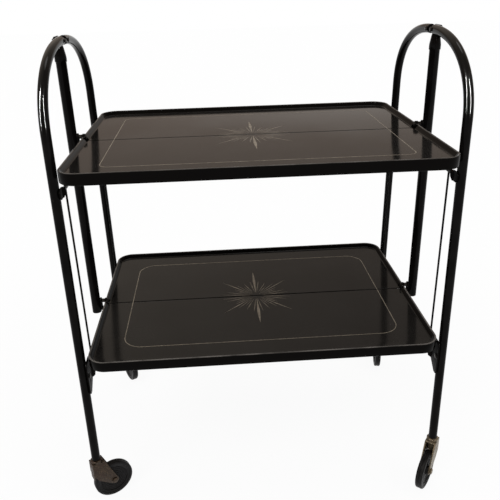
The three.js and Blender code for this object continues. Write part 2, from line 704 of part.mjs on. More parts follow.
function apexBracket() {
  const profile = [
    [APEX_STRAP_INNER_X, APEX_STRAP_Z],
    [APEX_CHEEK_X, APEX_STRAP_Z],
    [APEX_CHEEK_X, APEX_UNDER_Z],
    [APEX_FOOT_INNER_X, APEX_UNDER_Z],
    [APEX_FOOT_INNER_X, APEX_FOOT_Z],
    [APEX_OUTER_X, APEX_FOOT_Z],
    [APEX_OUTER_X, APEX_STRAP_Z + APEX_PLATE],
    [APEX_STRAP_INNER_X, APEX_STRAP_Z + APEX_PLATE],
  ];
  const fold = plateY(profile, -APEX_BRACKET_HALF_DEPTH, APEX_BRACKET_HALF_DEPTH);
  const pegPoints = circlePoints(POST_PLANE_X, 0, APEX_PEG_RADIUS, PIN_SEGMENTS);
  const peg = barZ(pegPoints, POST_TOP_Z - APEX_PEG_LENGTH, APEX_FOOT_Z + WELD_BITE);
  const cuts = [];
  for (const y of [-APEX_PIN_Y, APEX_PIN_Y]) {
    cuts.push(pegX(APEX_PIN_RADIUS + FIT_GAP, APEX_CHEEK_X - FIT_GAP, APEX_OUTER_X + CUT_MARGIN, y, APEX_Z));
  }
  return carve([fold, peg], cuts);
}

function apexPin() {
  const innerX = LEG_INNER_X - FIT_GAP;
  const outerX = APEX_OUTER_X + FIT_GAP;
  return turnedX(
    [
      [innerX - APEX_HEAD_HEIGHT, 0],
      [innerX - APEX_HEAD_HEIGHT, APEX_PIN_RADIUS],
      [innerX - APEX_HEAD_HEIGHT / 2, APEX_HEAD_RADIUS],
      [innerX, APEX_HEAD_RADIUS],
      [innerX, APEX_PIN_RADIUS],
      [outerX, APEX_PIN_RADIUS],
      [outerX, APEX_HEAD_RADIUS],
      [outerX + APEX_HEAD_HEIGHT, APEX_HEAD_RADIUS],
      [outerX + APEX_HEAD_HEIGHT, 0],
    ],
    APEX_PIN_Y,
    APEX_Z,
  );
}

// Collar under a leg end with its stem in the leg and the king pin for the fork.
function casterStem() {
  const flangeZ = COLLAR_TOP_Z - COLLAR_HEIGHT;
  const headZ = CROWN_UNDER_Z - FIT_GAP;
  const profile = [
    [0, headZ - KING_HEAD_HEIGHT],
    [KING_HEAD_RADIUS, headZ - KING_HEAD_HEIGHT],
    [KING_HEAD_RADIUS, headZ],
    [KING_PIN_RADIUS, headZ],
    [KING_PIN_RADIUS, flangeZ],
    [COLLAR_RADIUS, flangeZ],
    [COLLAR_RADIUS, COLLAR_TOP_Z - COLLAR_EASE],
    [COLLAR_RADIUS - COLLAR_EASE, COLLAR_TOP_Z],
    [STEM_RADIUS, COLLAR_TOP_Z],
    [STEM_RADIUS, LEG_FOOT_Z + STEM_LENGTH],
    [0, LEG_FOOT_Z + STEM_LENGTH],
  ].map(([radius, z]) => new THREE.Vector2(radius, z));
  const geometry = new THREE.LatheGeometry(profile, ROUND_SEGMENTS);
  geometry.rotateX(Math.PI / 2);
  return geometry;
}

// The fork is drawn with the trail along +X and the axle along Y.
function fork() {
  const cheek = circlePoints(CASTER_TRAIL, WHEEL_RADIUS, FORK_EYE_RADIUS);
  cheek.push([-FORK_CROWN_FRONT, CROWN_TOP_Z], [FORK_CROWN_BACK, CROWN_TOP_Z]);
  cheek.push([-FORK_CROWN_FRONT, CROWN_TOP_Z - FORK_BACK_DROP]);
  cheek.push([FORK_BELLY_INSET - FORK_CROWN_FRONT, CROWN_TOP_Z - FORK_BELLY_DROP]);
  const outline = stretched(cheek);
  const arms = [
    plateY(outline, FORK_INNER_V, FORK_OUTER_V),
    plateY(outline, -FORK_OUTER_V, -FORK_INNER_V),
  ];
  const crown = box(
    -FORK_CROWN_FRONT,
    FORK_CROWN_BACK,
    -FORK_OUTER_V,
    FORK_OUTER_V,
    CROWN_UNDER_Z,
    CROWN_TOP_Z,
  );
  const kingPoints = circlePoints(0, 0, KING_PIN_RADIUS + BORE_CLEARANCE);
  const kingBore = barZ(kingPoints, CROWN_UNDER_Z - CUT_MARGIN, CROWN_TOP_Z + CUT_MARGIN);
  const axlePoints = circlePoints(CASTER_TRAIL, WHEEL_RADIUS, AXLE_RADIUS + FIT_GAP, PIN_SEGMENTS);
  const axleBore = plateY(axlePoints, -FORK_OUTER_V - CUT_MARGIN, FORK_OUTER_V + CUT_MARGIN);
  return carve([crown, ...arms], [kingBore, axleBore]);
}

function axle() {
  const seat = FORK_OUTER_V + FIT_GAP;
  const shaftPoints = circlePoints(CASTER_TRAIL, WHEEL_RADIUS, AXLE_RADIUS, PIN_SEGMENTS);
  const shaft = plateY(shaftPoints, -seat - WELD_BITE, seat + WELD_BITE);
  const nutPoints = circlePoints(CASTER_TRAIL, WHEEL_RADIUS, AXLE_NUT_RADIUS, 6);
  const nut = plateY(nutPoints, seat, seat + AXLE_NUT_HEIGHT);
  const headPoints = circlePoints(CASTER_TRAIL, WHEEL_RADIUS, AXLE_HEAD_RADIUS, PIN_SEGMENTS);
  const head = plateY(headPoints, -seat - AXLE_HEAD_HEIGHT, -seat);
  return carve([shaft, nut, head]);
}

function wheel() {
  const half = WHEEL_WIDTH / 2;
  const groove = TREAD_GROOVE_WIDTH / 2;
  const bore = AXLE_RADIUS + BORE_CLEARANCE;
  const side = [
    [bore, HUB_WIDTH / 2],
    [HUB_RADIUS, HUB_WIDTH / 2],
    [HUB_RADIUS, half - DISC_DEPTH],
    [DISC_RADIUS, half - DISC_DEPTH],
    [DISC_RADIUS, half - TYRE_STEP_DEPTH],
    [TYRE_STEP_RADIUS, half - TYRE_STEP_DEPTH],
    [TYRE_STEP_RADIUS, half],
    [WHEEL_RADIUS - WHEEL_EASE, half],
    [WHEEL_RADIUS, half - WHEEL_EASE],
    [WHEEL_RADIUS, groove],
    [WHEEL_RADIUS - TREAD_GROOVE_DEPTH, 0],
  ];
  const other = side.slice(0, -1).reverse().map(([radius, v]) => [radius, -v]);
  const ring = side.concat(other);
  ring.push(side[0]);
  const profile = ring.map(([radius, v]) => new THREE.Vector2(radius, v)).reverse();
  const geometry = new THREE.LatheGeometry(profile, WHEEL_SEGMENTS);
  geometry.translate(CASTER_TRAIL, 0, WHEEL_RADIUS);
  return geometry;
}

function material(look) {
  return new THREE.MeshStandardMaterial(look);
}

const trolley = new THREE.Group();
trolley.name = 'folding_serving_trolley';

// Adds one piece, mirrored into the quarter given by the signs.
function place(name, geometry, look, sx = 1, sy = 1) {
  let placed = geometry.index ? geometry.clone() : mergeVertices(geometry);
  placed.scale(sx, sy, 1);
  if (sx * sy < 0) {
    placed = turnedOut(placed);
  }
  placed.computeVertexNormals();
  const mesh = new THREE.Mesh(placed, material(look));
  mesh.name = name;
  trolley.add(mesh);
}

const SIDES = [['left', -1], ['right', 1]];
const ENDS = [['front', -1], ['rear', 1]];
const TRAYS = [['top', TOP_RIM_Z, TOP_TRAY_HALF_DEPTH], ['lower', LOWER_RIM_Z, LOWER_TRAY_HALF_DEPTH]];
const EAR_OUTER_X = { front: TRAY_HALF_LENGTH, rear: REAR_EAR_OUTER_X };

for (const [tray, rimZ, halfDepth] of TRAYS) {
  for (const [end, sy] of ENDS) {
    place(`${tray}_${end}_tray`, trayHalf(halfDepth, rimZ, EAR_OUTER_X[end]), TRAY_ENAMEL, 1, sy);
  }
}

for (const [side, sx] of SIDES) {
  place(`${side}_post`, post(), ENAMEL, sx);
  place(`${side}_apex_bracket`, apexBracket(), ENAMEL, sx);
  for (const [tray, rimZ] of TRAYS) {
    place(`${side}_${tray}_seam_bracket`, seamBracket(rimZ), ENAMEL, sx);
    place(`${side}_${tray}_seam_pin`, seamPin(rimZ), STEEL, sx);
  }
  for (const [end, sy] of ENDS) {
    const corner = `${side}_${end}`;
    place(`${corner}_leg`, leg(), ENAMEL, sx, sy);
    place(`${corner}_apex_pin`, apexPin(), STEEL, sx, sy);
    place(`${corner}_leg_bracket`, legBracket(), ENAMEL, sx, sy);
    place(`${corner}_gusset`, gusset(), ENAMEL, sx, sy);
    place(`${corner}_gusset_rivet`, gussetRivet(), STEEL, sx, sy);
    place(`${corner}_link_rod`, linkRod(), ENAMEL, sx, sy);
    const turn = THREE.MathUtils.degToRad(CASTER_REST_DEGREES[corner]);
    for (const [piece, make, look] of [
      ['caster_stem', casterStem, BRASS],
      ['fork', fork, BRASS],
      ['axle', axle, STEEL],
      ['wheel', wheel, RUBBER],
    ]) {
      const geometry = make();
      geometry.rotateZ(turn);
      geometry.translate(sx * LEG_PLANE_X, sy * LEG_FOOT_Y, 0);
      place(`${corner}_${piece}`, geometry, look);
    }
  }
}

// The origin is the middle of the bounding box, on the floor.
const bounds = new THREE.Box3().setFromObject(trolley);
const centre = bounds.getCenter(new THREE.Vector3());
for (const mesh of trolley.children) {
  mesh.geometry.translate(-centre.x, -centre.y, -bounds.min.z);
}

export default trolley;
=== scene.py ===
import json
import math

import bmesh
import bpy
from mathutils import Matrix, Vector


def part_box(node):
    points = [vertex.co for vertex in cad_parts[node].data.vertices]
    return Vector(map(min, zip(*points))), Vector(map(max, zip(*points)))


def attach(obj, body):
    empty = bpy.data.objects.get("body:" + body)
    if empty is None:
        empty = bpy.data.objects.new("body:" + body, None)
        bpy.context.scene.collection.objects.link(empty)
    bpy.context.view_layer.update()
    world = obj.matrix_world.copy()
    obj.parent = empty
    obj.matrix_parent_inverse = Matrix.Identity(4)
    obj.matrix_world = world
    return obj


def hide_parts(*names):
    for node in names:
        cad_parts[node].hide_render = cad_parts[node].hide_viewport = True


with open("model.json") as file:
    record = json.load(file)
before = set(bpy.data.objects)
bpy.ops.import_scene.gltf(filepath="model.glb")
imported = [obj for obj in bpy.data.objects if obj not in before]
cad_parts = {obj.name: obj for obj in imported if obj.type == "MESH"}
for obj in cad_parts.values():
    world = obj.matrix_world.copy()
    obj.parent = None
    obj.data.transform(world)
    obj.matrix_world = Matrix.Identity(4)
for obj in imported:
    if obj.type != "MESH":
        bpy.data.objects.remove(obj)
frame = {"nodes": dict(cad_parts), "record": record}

bl_info = {
    "name": "Folding serving trolley",
    "version": (1, 0, 0),
    "blender": (4, 5, 0),
    "location": "View3D > Sidebar > Trolley",
    "description": "Builds the visible pieces of a folding serving trolley",
    "category": "Object",
}

MM = 0.001
SIDES = (("left", -1), ("right", 1))
ENDS = (("front", -1), ("rear", 1))
CORNERS = [(f"{side}_{end}", sx, sy) for side, sx in SIDES for end, sy in ENDS]
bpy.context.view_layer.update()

# Distance under which vertices are one, and a step that keeps faces out of one plane
WELD = 1e-7
HAIR = 0.02 * MM


def middle(name):
    """Centre of a node's box at rest."""
    low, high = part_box(name)
    return (Vector(low) + Vector(high)) / 2


SEAM_Y = middle("left_post").y
LEG_X = abs(middle("right_rear_leg").x)
POST_X = abs(middle("right_post").x)
POST_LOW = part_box("right_post")[0][2]
POST_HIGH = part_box("right_post")[1][2]


# Sizes and colours a user would change


def length(name, description, default):
    return bpy.props.FloatProperty(name=name, description=description, default=default,
                                   unit="LENGTH", subtype="DISTANCE", precision=4)


def colour(name, description, default):
    return bpy.props.FloatVectorProperty(name=name, description=description, default=default,
                                         subtype="COLOR", size=3, min=0.0, max=1.0)


class TrolleyTraySizes(bpy.types.PropertyGroup):
    """Sizes of the four tray halves and their painted lines"""
    half_length: length("Half length", "Middle of the tray to its end", 297.6 * MM)
    top_half_depth: length("Top half depth", "Seam to the edge of the top tray", 228 * MM)
    lower_half_depth: length("Lower half depth", "Seam to the edge of the lower tray", 218 * MM)
    top_rim_z: length("Top rim height", "Floor to the rim of the top tray", 635 * MM)
    lower_rim_z: length("Lower rim height", "Floor to the rim of the lower tray", 310 * MM)
    corner_radius: length("Corner radius", "Radius of the tray corners in plan", 31 * MM)
    seam_gap: length("Seam gap", "Gap between the two halves", 2.4 * MM)
    seam_ease: length("Seam ease", "Radius where the sheet folds down at the seam", 0.9 * MM)
    notch_half_width: length("Notch half width", "Seam to the end of the rim notch", 11 * MM)
    border_inset: length("Border inset", "Tray edge to the painted border", 53 * MM)
    top_border_radius: length("Top border radius", "Border corners of the top tray", 16 * MM)
    lower_border_radius: length("Lower border radius", "Border corners of the lower tray", 34 * MM)
    border_width: length("Border width", "Width of the painted line", 1.5 * MM)
    paint_height: length("Paint height", "How far the painted lines stand up", 0.06 * MM)


class TrolleyTubeSizes(bpy.types.PropertyGroup):
    """Sizes of the leg tubes, the posts and their joint"""
    leg_radius: length("Leg radius", "Radius of the leg tubes", 7.6 * MM)
    foot_y: length("Foot distance", "Seam plane to the foot of a leg", 199.6 * MM)
    foot_z: length("Foot height", "Floor to the end of the leg tube", 94 * MM)
    arch_y: length("Arch distance", "Seam plane to the start of the arch", 184.4 * MM)
    arch_z: length("Arch start height", "Floor to the start of the arch", 672 * MM)
    apex_z: length("Apex height", "Floor to the tube centre at the apex", 795 * MM)
    apex_end_y: length("Tube end", "Seam plane to the tube end", 8.6 * MM)
    post_radius: length("Post radius", "Radius of the posts", 8.8 * MM)
    cap_radius: length("Cap radius", "Radius of the post caps", 9.9 * MM)
    cap_top_radius: length("Cap top radius", "Radius of the cap's upper end", 7.8 * MM)
    cap_height: length("Cap height", "Height of the straight part of the post heads", 21 * MM)
    head_radius: length("Head radius", "Radius of the top of the post head", 4.6 * MM)
    head_foot_radius: length("Head foot radius", "Head between the tube ends", 6.8 * MM)
    head_rise: length("Head rise", "Tube centre at the apex to the top of the head", 6.0 * MM)
    cheek_thickness: length("Cheek thickness", "Sheet behind the tube ends", 2 * MM)
    pivot_y: length("Pivot distance", "Seam plane to the pivots of the legs", 12 * MM)


class TrolleyCasterSizes(bpy.types.PropertyGroup):
    """Sizes of the wheels and of the sheet and cap that close the forks"""
    wheel_radius: length("Wheel radius", "Radius of the wheels", 36 * MM)
    bore_radius: length("Bore radius", "Radius of the bore for the axle", 3.4 * MM)
    wheel_width: length("Wheel width", "Width of the tyre", 12.6 * MM)
    hub_width: length("Hub width", "Width over the hub", 14.4 * MM)
    hub_radius: length("Hub radius", "Radius of the hub", 8 * MM)
    tyre_depth: length("Tyre depth", "Tread to the step beside it", 6 * MM)
    groove_depth: length("Groove depth", "Depth of the groove in the tread", 1 * MM)
    disc_drop: length("Disc drop", "Side of the tyre to the disc beside the hub", 3 * MM)
    rib_height: length("Rib height", "Height of the round ribs on the disc", 0.8 * MM)
    web_height: length("Web height", "Height of the web at the back of the fork", 36 * MM)
    cap_radius: length("Cap radius", "Radius of the dust cap under the crown", 7.3 * MM)
    cap_height: length("Cap height", "Height of the dust cap under the crown", 19.2 * MM)


class TrolleyColours(bpy.types.PropertyGroup):
    """Linear base colours of the finishes"""
    enamel: colour("Enamel", "Enamel of the tubes", (0.0024, 0.0020, 0.0019))
    tray: colour("Tray enamel", "Enamel of the trays", (0.0026, 0.0021, 0.0019))
    # Dust is also the base of the painted highlight on the rim crests
    dust: colour("Dust", "Wiped-on dust of the serving surfaces", (0.0160, 0.0145, 0.0132))
    paint: colour("Painted lines", "Gold paint of the lines", (0.290, 0.250, 0.195))
    faded: colour("Faded lines", "Rubbed paint of the star's fans", (0.175, 0.150, 0.115))
    rust: colour("Rust", "Rust in chips and on the forks", (0.036, 0.017, 0.009))
    # One brass in two copies: this lighter one on the right casters is painted light, the next
    # darker one on the left casters is painted shade
    brass: colour("Brass", "Tarnished brass of the right casters", (0.520, 0.420, 0.270))
    shaded_brass: colour("Brass darkened as shade", "Brass of the left casters, darkened as painted shade", (0.120, 0.078, 0.046))
    steel: colour("Steel", "Darkened steel of the pins", (0.060, 0.052, 0.045))
    rubber: colour("Rubber", "Rubber of the wheels", (0.0050, 0.0045, 0.0045))
    floor: colour("Floor", "Floor and backdrop", (0.97, 0.97, 0.97))


# Materials


def new_material(name):
    material = bpy.data.materials.new(name)
    material.use_nodes = True
    return material, material.node_tree, material.node_tree.nodes["Principled BSDF"]


def connect(tree, made, inputs):
    """Links a node's inputs to sockets, or sets them to plain values."""
    for key, value in inputs.items():
        if isinstance(value, bpy.types.NodeSocket):
            tree.links.new(value, made.inputs[key])
        else:
            made.inputs[key].default_value = value


def node(tree, kind, inputs=None, **settings):
    made = tree.nodes.new(kind)
    for key, value in settings.items():
        setattr(made, key, value)
    connect(tree, made, inputs or {})
    return made


def calc(tree, operation, *values):
    """Result of one Math node."""
    return node(tree, "ShaderNodeMath", dict(enumerate(values)), operation=operation).outputs[0]


def coordinate(tree, vector, axis):
    return node(tree, "ShaderNodeSeparateXYZ", {0: vector}).outputs[axis]


def object_place(tree):
    return node(tree, "ShaderNodeTexCoord").outputs["Object"]


def object_noise(tree, scale, detail=4.0, roughness=0.55):
    return node(tree, "ShaderNodeTexNoise", {
        "Vector": object_place(tree), "Scale": scale, "Detail": detail, "Roughness": roughness,
    }).outputs["Fac"]


def ranged(tree, value, low, high, to_low, to_high):
    """Maps low..high to to_low..to_high and holds the ends."""
    return node(tree, "ShaderNodeMapRange", {
        "Value": value, "From Min": low, "From Max": high, "To Min": to_low, "To Max": to_high,
    }).outputs["Result"]


def share(tree, value, low, high):
    return ranged(tree, value, low, high, 0.0, 1.0)


def mixed(tree, factor, first, second):
    """Colour between two colours or sockets."""
    made = node(tree, "ShaderNodeMix", {"Factor": factor}, data_type="RGBA")
    for key, value in ((6, first), (7, second)):
        plain = not isinstance(value, bpy.types.NodeSocket)
        connect(tree, made, {key: (*value, 1.0) if plain else value})
    return made.outputs[2]


def scaled(colour, factor, lift=0.0):
    return tuple(channel * factor + lift for channel in colour)


def bumped(tree, shader, height, strength, distance):
    bump = node(tree, "ShaderNodeBump",
                {"Height": height, "Strength": strength, "Distance": distance})
    tree.links.new(bump.outputs["Normal"], shader.inputs["Normal"])


def upward_share(tree, low, high):
    """0 for faces that stand, 1 for faces that look up; it places dust and a painted sheen."""
    normal = node(tree, "ShaderNodeNewGeometry").outputs["Normal"]
    return share(tree, coordinate(tree, normal, "Z"), low, high)


# Reflection level of faces that look up, a painted sheen; standing faces get a lower level,
# painted shade
UP_FACING_PAINTED_SHEEN = 0.12


def enamel_material(name, base, rust, gloss, chips, standing_sheen_as_shade):
    """Baked enamel: smooth gloss, faint orange peel, handling haze and a few rusty chips."""
    material, tree, shader = new_material(name)
    haze = object_noise(tree, scale=22.0)
    flakes = object_noise(tree, scale=160.0, detail=6.0, roughness=0.62)
    chip = share(tree, flakes, chips, chips + 0.03)
    coat = mixed(tree, share(tree, haze, 0.35, 0.75), base, scaled(base, 1.9, lift=0.002))
    polish = ranged(tree, haze, 0.3, 0.75, gloss, gloss + 0.08)
    painted_sheen_facing = upward_share(tree, 0.1, 0.9)
    connect(tree, shader, {
        "Base Color": mixed(tree, chip, coat, rust),
        "Roughness": calc(tree, "MINIMUM", calc(tree, "MAXIMUM", polish, chip), 0.62),
        # Painted sheen and shade: faces looking up reflect more, standing faces less
        "Specular IOR Level": ranged(tree, painted_sheen_facing, 0.0, 1.0, standing_sheen_as_shade, UP_FACING_PAINTED_SHEEN),
    })
    peel = object_noise(tree, scale=420.0, detail=2.0)
    bumped(tree, shader, calc(tree, "SUBTRACT", peel, chip), 0.10, 0.08 * MM)
    return material


def rim_highlight_share(tree, place, rim_z):
    """Patchy painted highlight along the crest of a tray rim at rest height rim_z."""
    off = calc(tree, "SUBTRACT", coordinate(tree, place, "Z"), rim_z)
    crest = ranged(tree, calc(tree, "ABSOLUTE", off), 0.3 * MM, 1.2 * MM, 1.0, 0.0)
    patches = ranged(tree, object_noise(tree, scale=24.0), 0.35, 0.6, 0.35, 1.0)
    return calc(tree, "MULTIPLY", crest, patches)


HAIR_SCRATCHES = (14.0, 900.0, 14.0)
# Painted highlight on the rim crests: the top rim's share of it, and how much lighter than dust it
# is
TOP_RIM_HIGHLIGHT_SHARE = 0.6
RIM_HIGHLIGHT_GAIN = 10


def tray_material(name, base, dust, rust):
    """Tray enamel: near mirror gloss, hair scratches, wiped dust, a painted rim glint and sheen.
    """
    material, tree, shader = new_material(name)
    trays = bpy.context.scene.trolley_trays
    place = object_place(tree)
    haze = object_noise(tree, scale=7.0, detail=5.0)
    stretched = node(tree, "ShaderNodeMapping", {"Vector": place, "Scale": HAIR_SCRATCHES})
    hairs = node(tree, "ShaderNodeTexNoise",
                 {"Vector": stretched.outputs[0], "Scale": 1.0, "Detail": 3.0}).outputs["Fac"]
    scratch = share(tree, hairs, 0.68, 0.74)
    flakes = object_noise(tree, scale=110.0, detail=6.0, roughness=0.6)
    chip = share(tree, flakes, 0.735, 0.76)
    dust_and_sheen_facing = upward_share(tree, 0.75, 0.98)
    wiped = ranged(tree, haze, 0.3, 0.75, 0.45, 1.0)
    coat = mixed(tree, calc(tree, "MULTIPLY", dust_and_sheen_facing, wiped), base, dust)
    # Painted highlight: a pale patchy band along the rim crests, fainter on the top tray
    top_rim_highlight = calc(tree, "MULTIPLY", rim_highlight_share(tree, place, trays.top_rim_z), TOP_RIM_HIGHLIGHT_SHARE)
    rim_highlight = calc(tree, "ADD", rim_highlight_share(tree, place, trays.lower_rim_z), top_rim_highlight)
    coat_with_rim_highlight = mixed(tree, rim_highlight, coat, scaled(dust, RIM_HIGHLIGHT_GAIN))
    gloss = ranged(tree, haze, 0.3, 0.7, 0.08, 0.13)
    connect(tree, shader, {
        "Base Color": mixed(tree, chip, coat_with_rim_highlight, rust),
        "Roughness": calc(tree, "MULTIPLY_ADD", scratch, 0.08, gloss),
        # Painted sheen and shade: the serving faces reflect more, the skirts and other standing
        # faces less
        "Specular IOR Level": ranged(tree, dust_and_sheen_facing, 0.0, 1.0, 0.03, UP_FACING_PAINTED_SHEEN),
    })
    bumped(tree, shader, object_noise(tree, scale=60.0, detail=2.0), 0.04, 0.1 * MM)
    return material


def paint_material(name, base):
    """Gold line paint, rubbed thin in places."""
    material, tree, shader = new_material(name)
    rub = share(tree, object_noise(tree, scale=130.0), 0.35, 0.65)
    connect(tree, shader, {
        "Base Color": mixed(tree, rub, scaled(base, 0.55), base),
        "Metallic": 0.35,
        "Roughness": ranged(tree, rub, 0.0, 1.0, 0.5, 0.32),
    })
    return material


def aged_metal(name, base, rust, spread, metallic):
    """Tarnished metal with rust creeping over it; less rust with more spread."""
    material, tree, shader = new_material(name)
    broad = object_noise(tree, scale=70.0, detail=6.0, roughness=0.65)
    fine = object_noise(tree, scale=520.0, roughness=0.6)
    cover = share(tree, broad, spread, spread + 0.16)
    tone = mixed(tree, share(tree, fine, 0.45, 0.75), scaled(base, 0.18), base)
    connect(tree, shader, {
        "Base Color": mixed(tree, cover, tone, rust),
        "Metallic": ranged(tree, cover, 0.0, 1.0, metallic, 0.1),
        "Roughness": ranged(tree, cover, 0.0, 1.0, 0.38, 0.8),
    })
    bumped(tree, shader, calc(tree, "ADD", broad, fine), 0.35, 0.3 * MM)
    return material


def rubber_material(name, base):
    """Hard rubber, scuffed grey where it rolls."""
    material, tree, shader = new_material(name)
    scuff = object_noise(tree, scale=240.0, detail=5.0, roughness=0.65)
    dusty = scaled(base, 2.5, lift=0.004)
    connect(tree, shader, {
        "Base Color": mixed(tree, share(tree, scuff, 0.5, 0.75), base, dusty),
        "Roughness": ranged(tree, scuff, 0.3, 0.7, 0.34, 0.62),
        "Specular IOR Level": 0.15,
    })
    bumped(tree, shader, scuff, 0.15, 0.2 * MM)
    return material


def seen_directly(tree):
    """1 for rays of the camera, mirrors and glass, 0 for rays that light a surface."""
    paths = node(tree, "ShaderNodeLightPath").outputs
    mirrored = calc(tree, "MAXIMUM", paths["Is Glossy Ray"], paths["Is Transmission Ray"])
    return calc(tree, "MAXIMUM", paths["Is Camera Ray"], mirrored)


WHITE = (1.0, 1.0, 1.0)
FLOOR_GLOW = 0.93


def background_material(name, tone):
    """White floor that glows a little, so that only a light shadow stays."""
    material, tree, shader = new_material(name)
    connect(tree, shader, {
        "Base Color": mixed(tree, object_noise(tree, scale=3.0), tone, scaled(tone, 0.98)),
        "Roughness": 0.9,
        "Specular IOR Level": 0.0,
    })
    glow = node(tree, "ShaderNodeEmission", {"Color": (*WHITE, 1.0), "Strength": 1.0})
    both = node(tree, "ShaderNodeMixShader", {
        0: calc(tree, "MULTIPLY", seen_directly(tree), FLOOR_GLOW),
        1: shader.outputs[0],
        2: glow.outputs[0],
    })
    tree.links.new(both.outputs[0], tree.nodes["Material Output"].inputs["Surface"])
    return material


MATERIALS = {}


def finish(kind):
    """The material of one finish, made when it is first asked for."""
    tones = bpy.context.scene.trolley_colours
    rust = tones.rust
    makers = {
        "enamel": lambda: enamel_material("enamel", tones.enamel, rust,
                                          gloss=0.09, chips=0.70, standing_sheen_as_shade=0.045),
        # The same enamel made darker for the plates, painted shade: their standing faces reflect
        # less
        "plates": lambda: enamel_material("enamel_of_plates_dimmed_as_shade", tones.enamel, rust,
                                          gloss=0.30, chips=0.66, standing_sheen_as_shade=0.012),
        "tray": lambda: tray_material("tray_enamel", tones.tray, tones.dust, rust),
        "paint": lambda: paint_material("gold_line_paint", tones.paint),
        "faded": lambda: paint_material("faded_line_paint", tones.faded),
        # Lit and shaded copies of one brass: painted light on the right casters, painted shade on
        # the left
        "brass": lambda: aged_metal("tarnished_brass_lit_copy", tones.brass, rust,
                                    spread=0.54, metallic=0.6),
        "shaded_brass": lambda: aged_metal("brass_darkened_as_shade", tones.shaded_brass, rust,
                                      spread=0.46, metallic=0.6),
        "pins": lambda: aged_metal("darkened_steel", tones.steel, rust,
                                   spread=0.62, metallic=0.8),
        "rubber": lambda: rubber_material("wheel_rubber", tones.rubber),
    }
    if kind not in MATERIALS:
        MATERIALS[kind] = makers[kind]()
    return MATERIALS[kind]


# Mesh helpers


SMOOTH_ANGLE = 38
PAN_SMOOTH_ANGLE = 30


def piece(bm, name, kind, body, nodes=(), smooth=SMOOTH_ANGLE):
    """Makes an object of the mesh, gives it its finish and hangs it on its body."""
    mesh = bpy.data.meshes.new(name)
    bm.to_mesh(mesh)
    bm.free()
    mesh.polygons.foreach_set("use_smooth", [True] * len(mesh.polygons))
    mesh.set_sharp_from_angle(angle=math.radians(smooth))
    mesh.materials.append(finish(kind))
    made = bpy.data.objects.new(name, mesh)
    bpy.context.collection.objects.link(made)
    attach(made, body)
    if nodes:
        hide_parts(*nodes)


def edges_at(verts):
    """The edges at some vertices, each once, in the order of the vertices."""
    return list(dict.fromkeys(e for v in verts for e in v.link_edges))


def ring_edges(verts):
    chosen = set(verts)
    return [e for e in edges_at(verts) if set(e.verts) <= chosen]


def circle(bm, radius, sides, place):
    made = bmesh.ops.create_circle(bm, cap_ends=False, radius=radius, segments=sides,
                                   matrix=place)
    return ring_edges(made["verts"])


def bridged(bm, rings):
    for first, second in zip(rings, rings[1:]):
        bmesh.ops.bridge_loops(bm, edges=first + second)


def capped(bm, *rings):
    for ring in rings:
        bmesh.ops.edgeloop_fill(bm, edges=ring)


def outward(bm):
    bmesh.ops.remove_doubles(bm, verts=bm.verts, dist=WELD)
    bmesh.ops.recalc_face_normals(bm, faces=bm.faces)


def eased(bm, edges, width, segments=2, clamp=True):
    """Rounds hard edges with a narrow bevel."""
    bmesh.ops.bevel(bm, geom=edges, offset=width, offset_type="OFFSET", segments=segments,
                    profile=0.5, affect="EDGES", material=-1, clamp_overlap=clamp)


def pushed(bm, faces, way):
    """Extrudes faces by a vector and returns the moved vertices."""
    grown = bmesh.ops.extrude_face_region(bm, geom=faces)["geom"]
    moved = [v for v in grown if isinstance(v, bmesh.types.BMVert)]
    bmesh.ops.translate(bm, vec=way, verts=moved)
    return moved


def cut_along_y(bm, y, keep=0):
    """Cuts the mesh on the plane of y and keeps one side, if one is given."""
    return bmesh.ops.bisect_plane(
        bm, geom=bm.verts[:] + bm.edges[:] + bm.faces[:], dist=WELD,
        plane_co=(0, y, 0), plane_no=(0, -keep if keep else 1, 0), clear_outer=bool(keep))


def turned(profile, steps, place):
    """A solid of revolution about Z from [radius, z] points, moved to its place."""
    bm = bmesh.new()
    verts = [bm.verts.new((radius, 0.0, z)) for radius, z in profile]
    edges = [bm.edges.new(pair) for pair in zip(verts, verts[1:])]
    bmesh.ops.spin(bm, geom=verts + edges, cent=(0, 0, 0), axis=(0, 0, 1), angle=math.tau,
                   steps=steps, use_merge=True, use_duplicate=False)
    outward(bm)
    bmesh.ops.transform(bm, matrix=place, verts=bm.verts)
    return bm


CAD_WELD = 2e-6
FLAT_ANGLE = math.radians(1)
HARD_ANGLE = math.radians(50)


def softened(name, source, kind, body, ease, added=None):
    """A CAD solid with its hard edges eased; added puts more on its mesh."""
    bm = bmesh.new()
    bm.from_mesh(frame["nodes"][source].data)
    bmesh.ops.remove_doubles(bm, verts=bm.verts, dist=CAD_WELD)
    bmesh.ops.dissolve_limit(bm, angle_limit=FLAT_ANGLE, verts=bm.verts, edges=bm.edges)
    eased(bm, [e for e in bm.edges if e.is_manifold and e.calc_face_angle(0.0) > HARD_ANGLE],
          ease)
    bmesh.ops.remove_doubles(bm, verts=bm.verts, dist=WELD)
    if added:
        added(bm)
    piece(bm, name, kind, body, (source,))


# Tubes


LEG_SIDES = 32
ARCH_RINGS = 44
STRAIGHT_RINGS = 10
ARCH_ROUNDNESS = 0.87
TUBE_END_EASE = 0.6 * MM
POST_SIDES = 40


